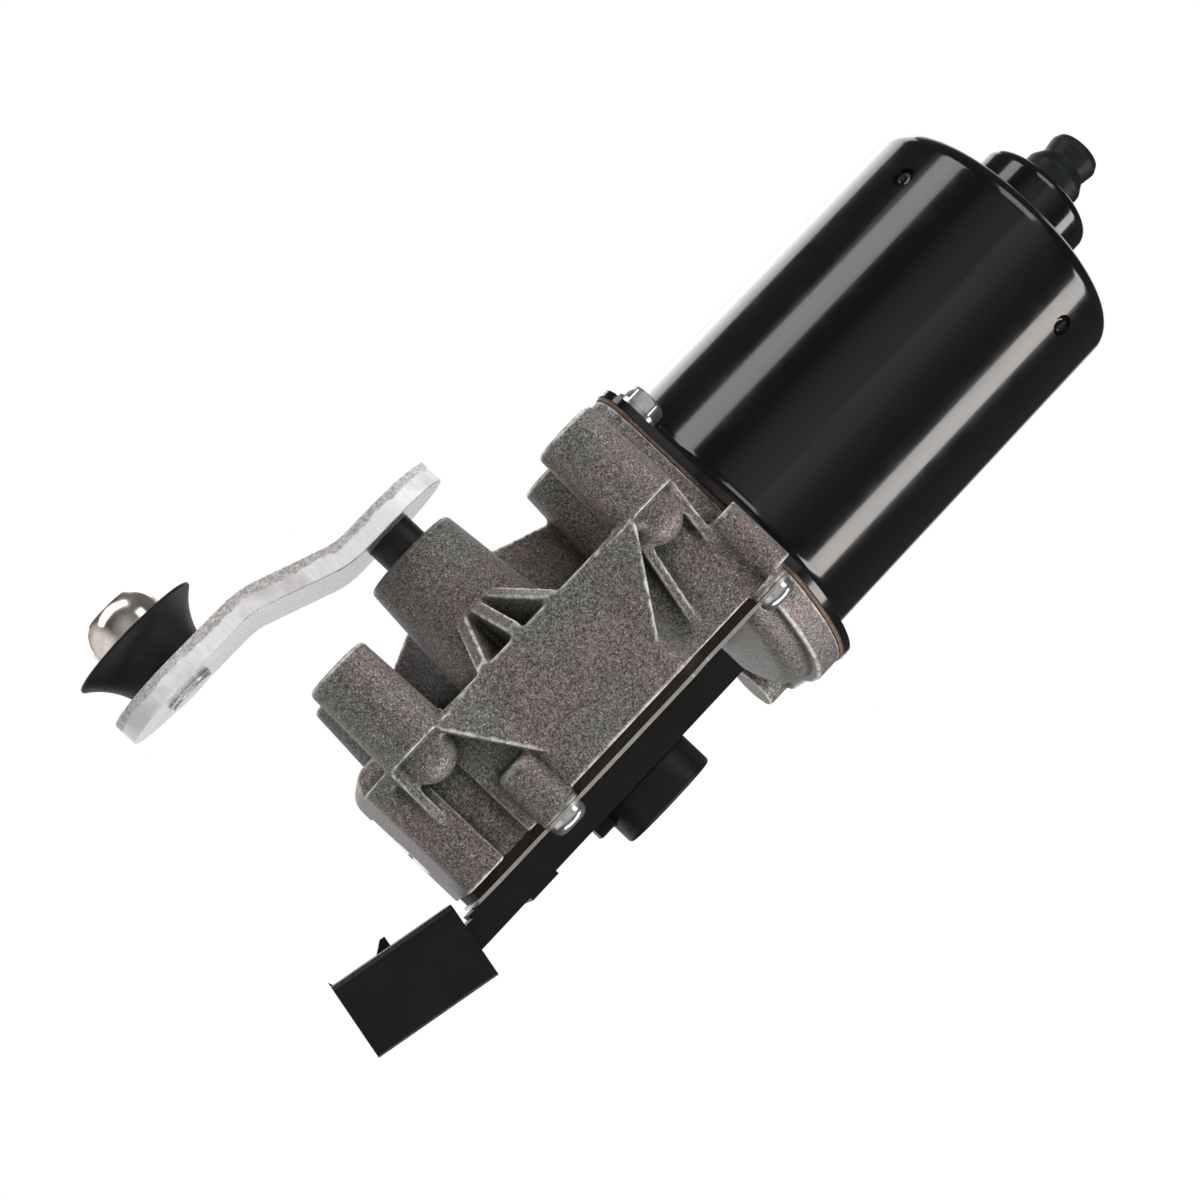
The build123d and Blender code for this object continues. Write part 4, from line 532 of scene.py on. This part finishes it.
def point_vectors(mesh, name):
    """The place or the normal of every point of the mesh, one row each."""
    values = np.empty(len(mesh.vertices) * 3)
    mesh.vertices.foreach_get(name, values)
    return values.reshape(-1, 3)


def mark_shape(piece):
    """Gives each point two values from 0 to 1: how sharp an edge it lies on, for edge wear and painted
    highlight, and how deep in a hollow, for painted shade.
    """
    mesh = piece.data
    places = point_vectors(mesh, "co")
    normals = point_vectors(mesh, "normal")
    ends = np.empty(len(mesh.edges) * 2, dtype=np.int32)
    mesh.edges.foreach_get("vertices", ends)
    first, second = ends[0::2], ends[1::2]
    eased = neighbour_mean(places, first, second)
    above = ((places - eased) * normals).sum(axis=1)
    for _ in range(HOLLOW_REACH):
        eased = neighbour_mean(eased, first, second)
    below = ((eased - places) * normals).sum(axis=1)
    for name, share in ((EDGE_WEAR_AND_HIGHLIGHT, above / SHARPEST_EDGE), (HOLLOW_SHADE, below / DEEPEST_HOLLOW)):
        values = mesh.attributes.new(name, "FLOAT", "POINT")
        values.data.foreach_set("value", np.clip(share, 0.0, 1.0).astype(np.float32))


def cast_housing():
    """The casting, with the small fillets that a die leaves along every edge and corner."""
    piece = copied("gearbox_housing")
    skin = piece.modifiers.new("skin", "REMESH")
    skin.mode = "VOXEL"
    skin.voxel_size = CAST_VOXEL
    skin.use_smooth_shade = True
    ease = piece.modifiers.new("fillets", "SMOOTH")
    ease.factor = 0.5
    ease.iterations = CAST_EASE
    made_real(piece)
    mark_shape(piece)
    place_piece(piece, "gearbox_housing")


def sheared_arm():
    """The arm, with the torn band along its upper edge: each point carries 1 on the top face and 0 below."""
    piece = copied("crank_arm")
    mesh = piece.data
    mesh.materials.append(SHEARED)
    top_points = set()
    for face in mesh.polygons:
        if face.normal.z > 0.5:
            top_points.update(face.vertices)
        if abs(face.normal.z) < 0.2:
            face.material_index = 1
    level = mesh.attributes.new(EDGE_LEVEL, "FLOAT", "POINT")
    for point in mesh.vertices:
        level.data[point.index].value = 1.0 if point.index in top_points else 0.0
    round_edges(piece, *ARM_ROUNDING)
    place_piece(piece, "crank_arm")


def plate_foot(stud):
    """Plates the ball stud's riveted foot, below the arm, like the arm."""
    stud.data.materials.append(LOOKS["zinc_arm"])
    foot_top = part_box("ball_stud")[0].z + RIVET_FOOT
    for face in stud.data.polygons:
        if face.center.z < foot_top:
            face.material_index = 1


# ---------------------------------------------------------------- camera, floor and light
def add_camera():
    right = CAMERA_RIGHT.normalized()
    up = -CAMERA_DOWN.normalized()
    back = right.cross(up).normalized()
    up = back.cross(right)
    camera = bpy.data.objects.new("camera", bpy.data.cameras.new("camera"))
    turn = Matrix((right, up, back)).transposed()
    camera.matrix_world = Matrix.Translation(CAMERA_PLACE) @ turn.to_4x4()
    camera.data.lens = CAMERA_LENS
    camera.data.sensor_width = CAMERA_SENSOR
    camera.data.clip_end = CAMERA_CLIP_END
    bpy.context.scene.collection.objects.link(camera)
    bpy.context.scene.camera = camera


def floor_look():
    """White to the camera, less the shadow that falls on it.

    In reflections it is dim under the object and white far behind it, where it meets the white background.
    """
    look = bpy.data.materials.new("floor")
    look.use_nodes = True
    nodes = Nodes(look.node_tree)
    nodes.tree.nodes.remove(nodes.tree.nodes["Principled BSDF"])
    path = nodes.node("ShaderNodeLightPath").outputs
    diffuse = nodes.node("ShaderNodeBsdfDiffuse")
    paint = nodes.blend(path["Is Glossy Ray"], FLOOR_PAINT, MIRRORED_FLOOR_PAINT)
    nodes.feed(diffuse.inputs["Color"], paint)
    place = nodes.axes(nodes.node("ShaderNodeNewGeometry").outputs["Position"])
    depth = nodes.spread(place["Y"], within=(-FLOOR_REACH, FLOOR_REACH))
    tones = [((y + FLOOR_REACH) / (2 * FLOOR_REACH), tone) for y, tone in MIRRORED_FLOOR_TONES]
    mirrored = nodes.maths("MULTIPLY", path["Is Glossy Ray"], nodes.ramp(depth, tones))
    glow = nodes.node("ShaderNodeEmission")
    strength = nodes.maths("MULTIPLY_ADD", path["Is Camera Ray"], FLOOR_GLOW, mirrored)
    nodes.feed(glow.inputs["Strength"], strength)
    both = nodes.node("ShaderNodeAddShader")
    nodes.feed(both.inputs[0], diffuse.outputs[0])
    nodes.feed(both.inputs[1], glow.outputs[0])
    nodes.feed(nodes.tree.nodes["Material Output"].inputs["Surface"], both.outputs[0])
    return look


def add_floor():
    far = FLOOR_REACH
    level = cad_box[0].z - FLOOR_DROP
    mesh = bpy.data.meshes.new("floor")
    corners = [(-far, -far, level), (far, -far, level), (far, far, level), (-far, far, level)]
    mesh.from_pydata(corners, [], [(0, 1, 2, 3)])
    mesh.materials.append(floor_look())
    floor = bpy.data.objects.new("floor", mesh)
    bpy.context.scene.collection.objects.link(floor)


def add_world():
    """White to the camera. The room that lights the object is white behind it and dim in front.

    So is what it mirrors, which is pale as well where the direction's X is well below zero, past the ball.
    """
    world = bpy.data.worlds.new("studio")
    bpy.context.scene.world = world
    world.use_nodes = True
    nodes = Nodes(world.node_tree)
    path = nodes.node("ShaderNodeLightPath").outputs
    direction = nodes.axes(nodes.node("ShaderNodeTexCoord").outputs["Generated"])
    depth = nodes.spread(direction["Y"], within=(-1.0, 1.0))
    end = nodes.spread(direction["X"], 0.0, MIRRORED_END, (MIRRORED_END_START, MIRRORED_END_FULL))
    mirrored = nodes.blend(1.0, nodes.ramp(depth, MIRRORED_TONES), end, "LIGHTEN")
    ambient = nodes.background(nodes.ramp(depth, AMBIENT_TONES))
    room = nodes.either(path["Is Glossy Ray"], ambient, nodes.background(mirrored))
    clear = nodes.maths("MAXIMUM", path["Is Camera Ray"], path["Is Transmission Ray"])
    seen = nodes.either(clear, room, nodes.background((1.0, 1.0, 1.0)))
    nodes.feed(nodes.tree.nodes["World Output"].inputs["Surface"], seen)


def add_lamp(name, rise, turn, distance, size, glow, tint, mirrored):
    """A soft panel that faces the object. Polished surfaces show it only if it is mirrored."""
    width, height = size
    data = bpy.data.lights.new(name, "AREA")
    data.shape = "RECTANGLE"
    data.size = width
    data.size_y = height
    data.color = tint
    data.energy = glow * math.pi * width * height
    lamp = bpy.data.objects.new(name, data)
    rise, turn = math.radians(rise), math.radians(turn)
    away = Vector((math.cos(rise) * math.sin(turn), -math.cos(rise) * math.cos(turn), math.sin(rise)))
    across = Vector((0, 0, 1)).cross(away).normalized()
    facing = Matrix((across, away.cross(across), away)).transposed()
    lamp.matrix_world = Matrix.Translation(LIGHT_TARGET + distance * away) @ facing.to_4x4()
    lamp.visible_camera = False
    lamp.visible_glossy = mirrored
    bpy.context.scene.collection.objects.link(lamp)


# ---------------------------------------------------------------- the scene
dress_nodes()
cast_housing()
sheared_arm()
finished = {node: softened(node, width, steps) for node, (width, steps) in ROUNDINGS.items()}
plate_foot(finished["ball_stud"])

add_camera()
add_floor()
add_world()
for lamp_values in LAMPS:
    add_lamp(*lamp_values)
bpy.context.scene.view_settings.view_transform = "Standard"
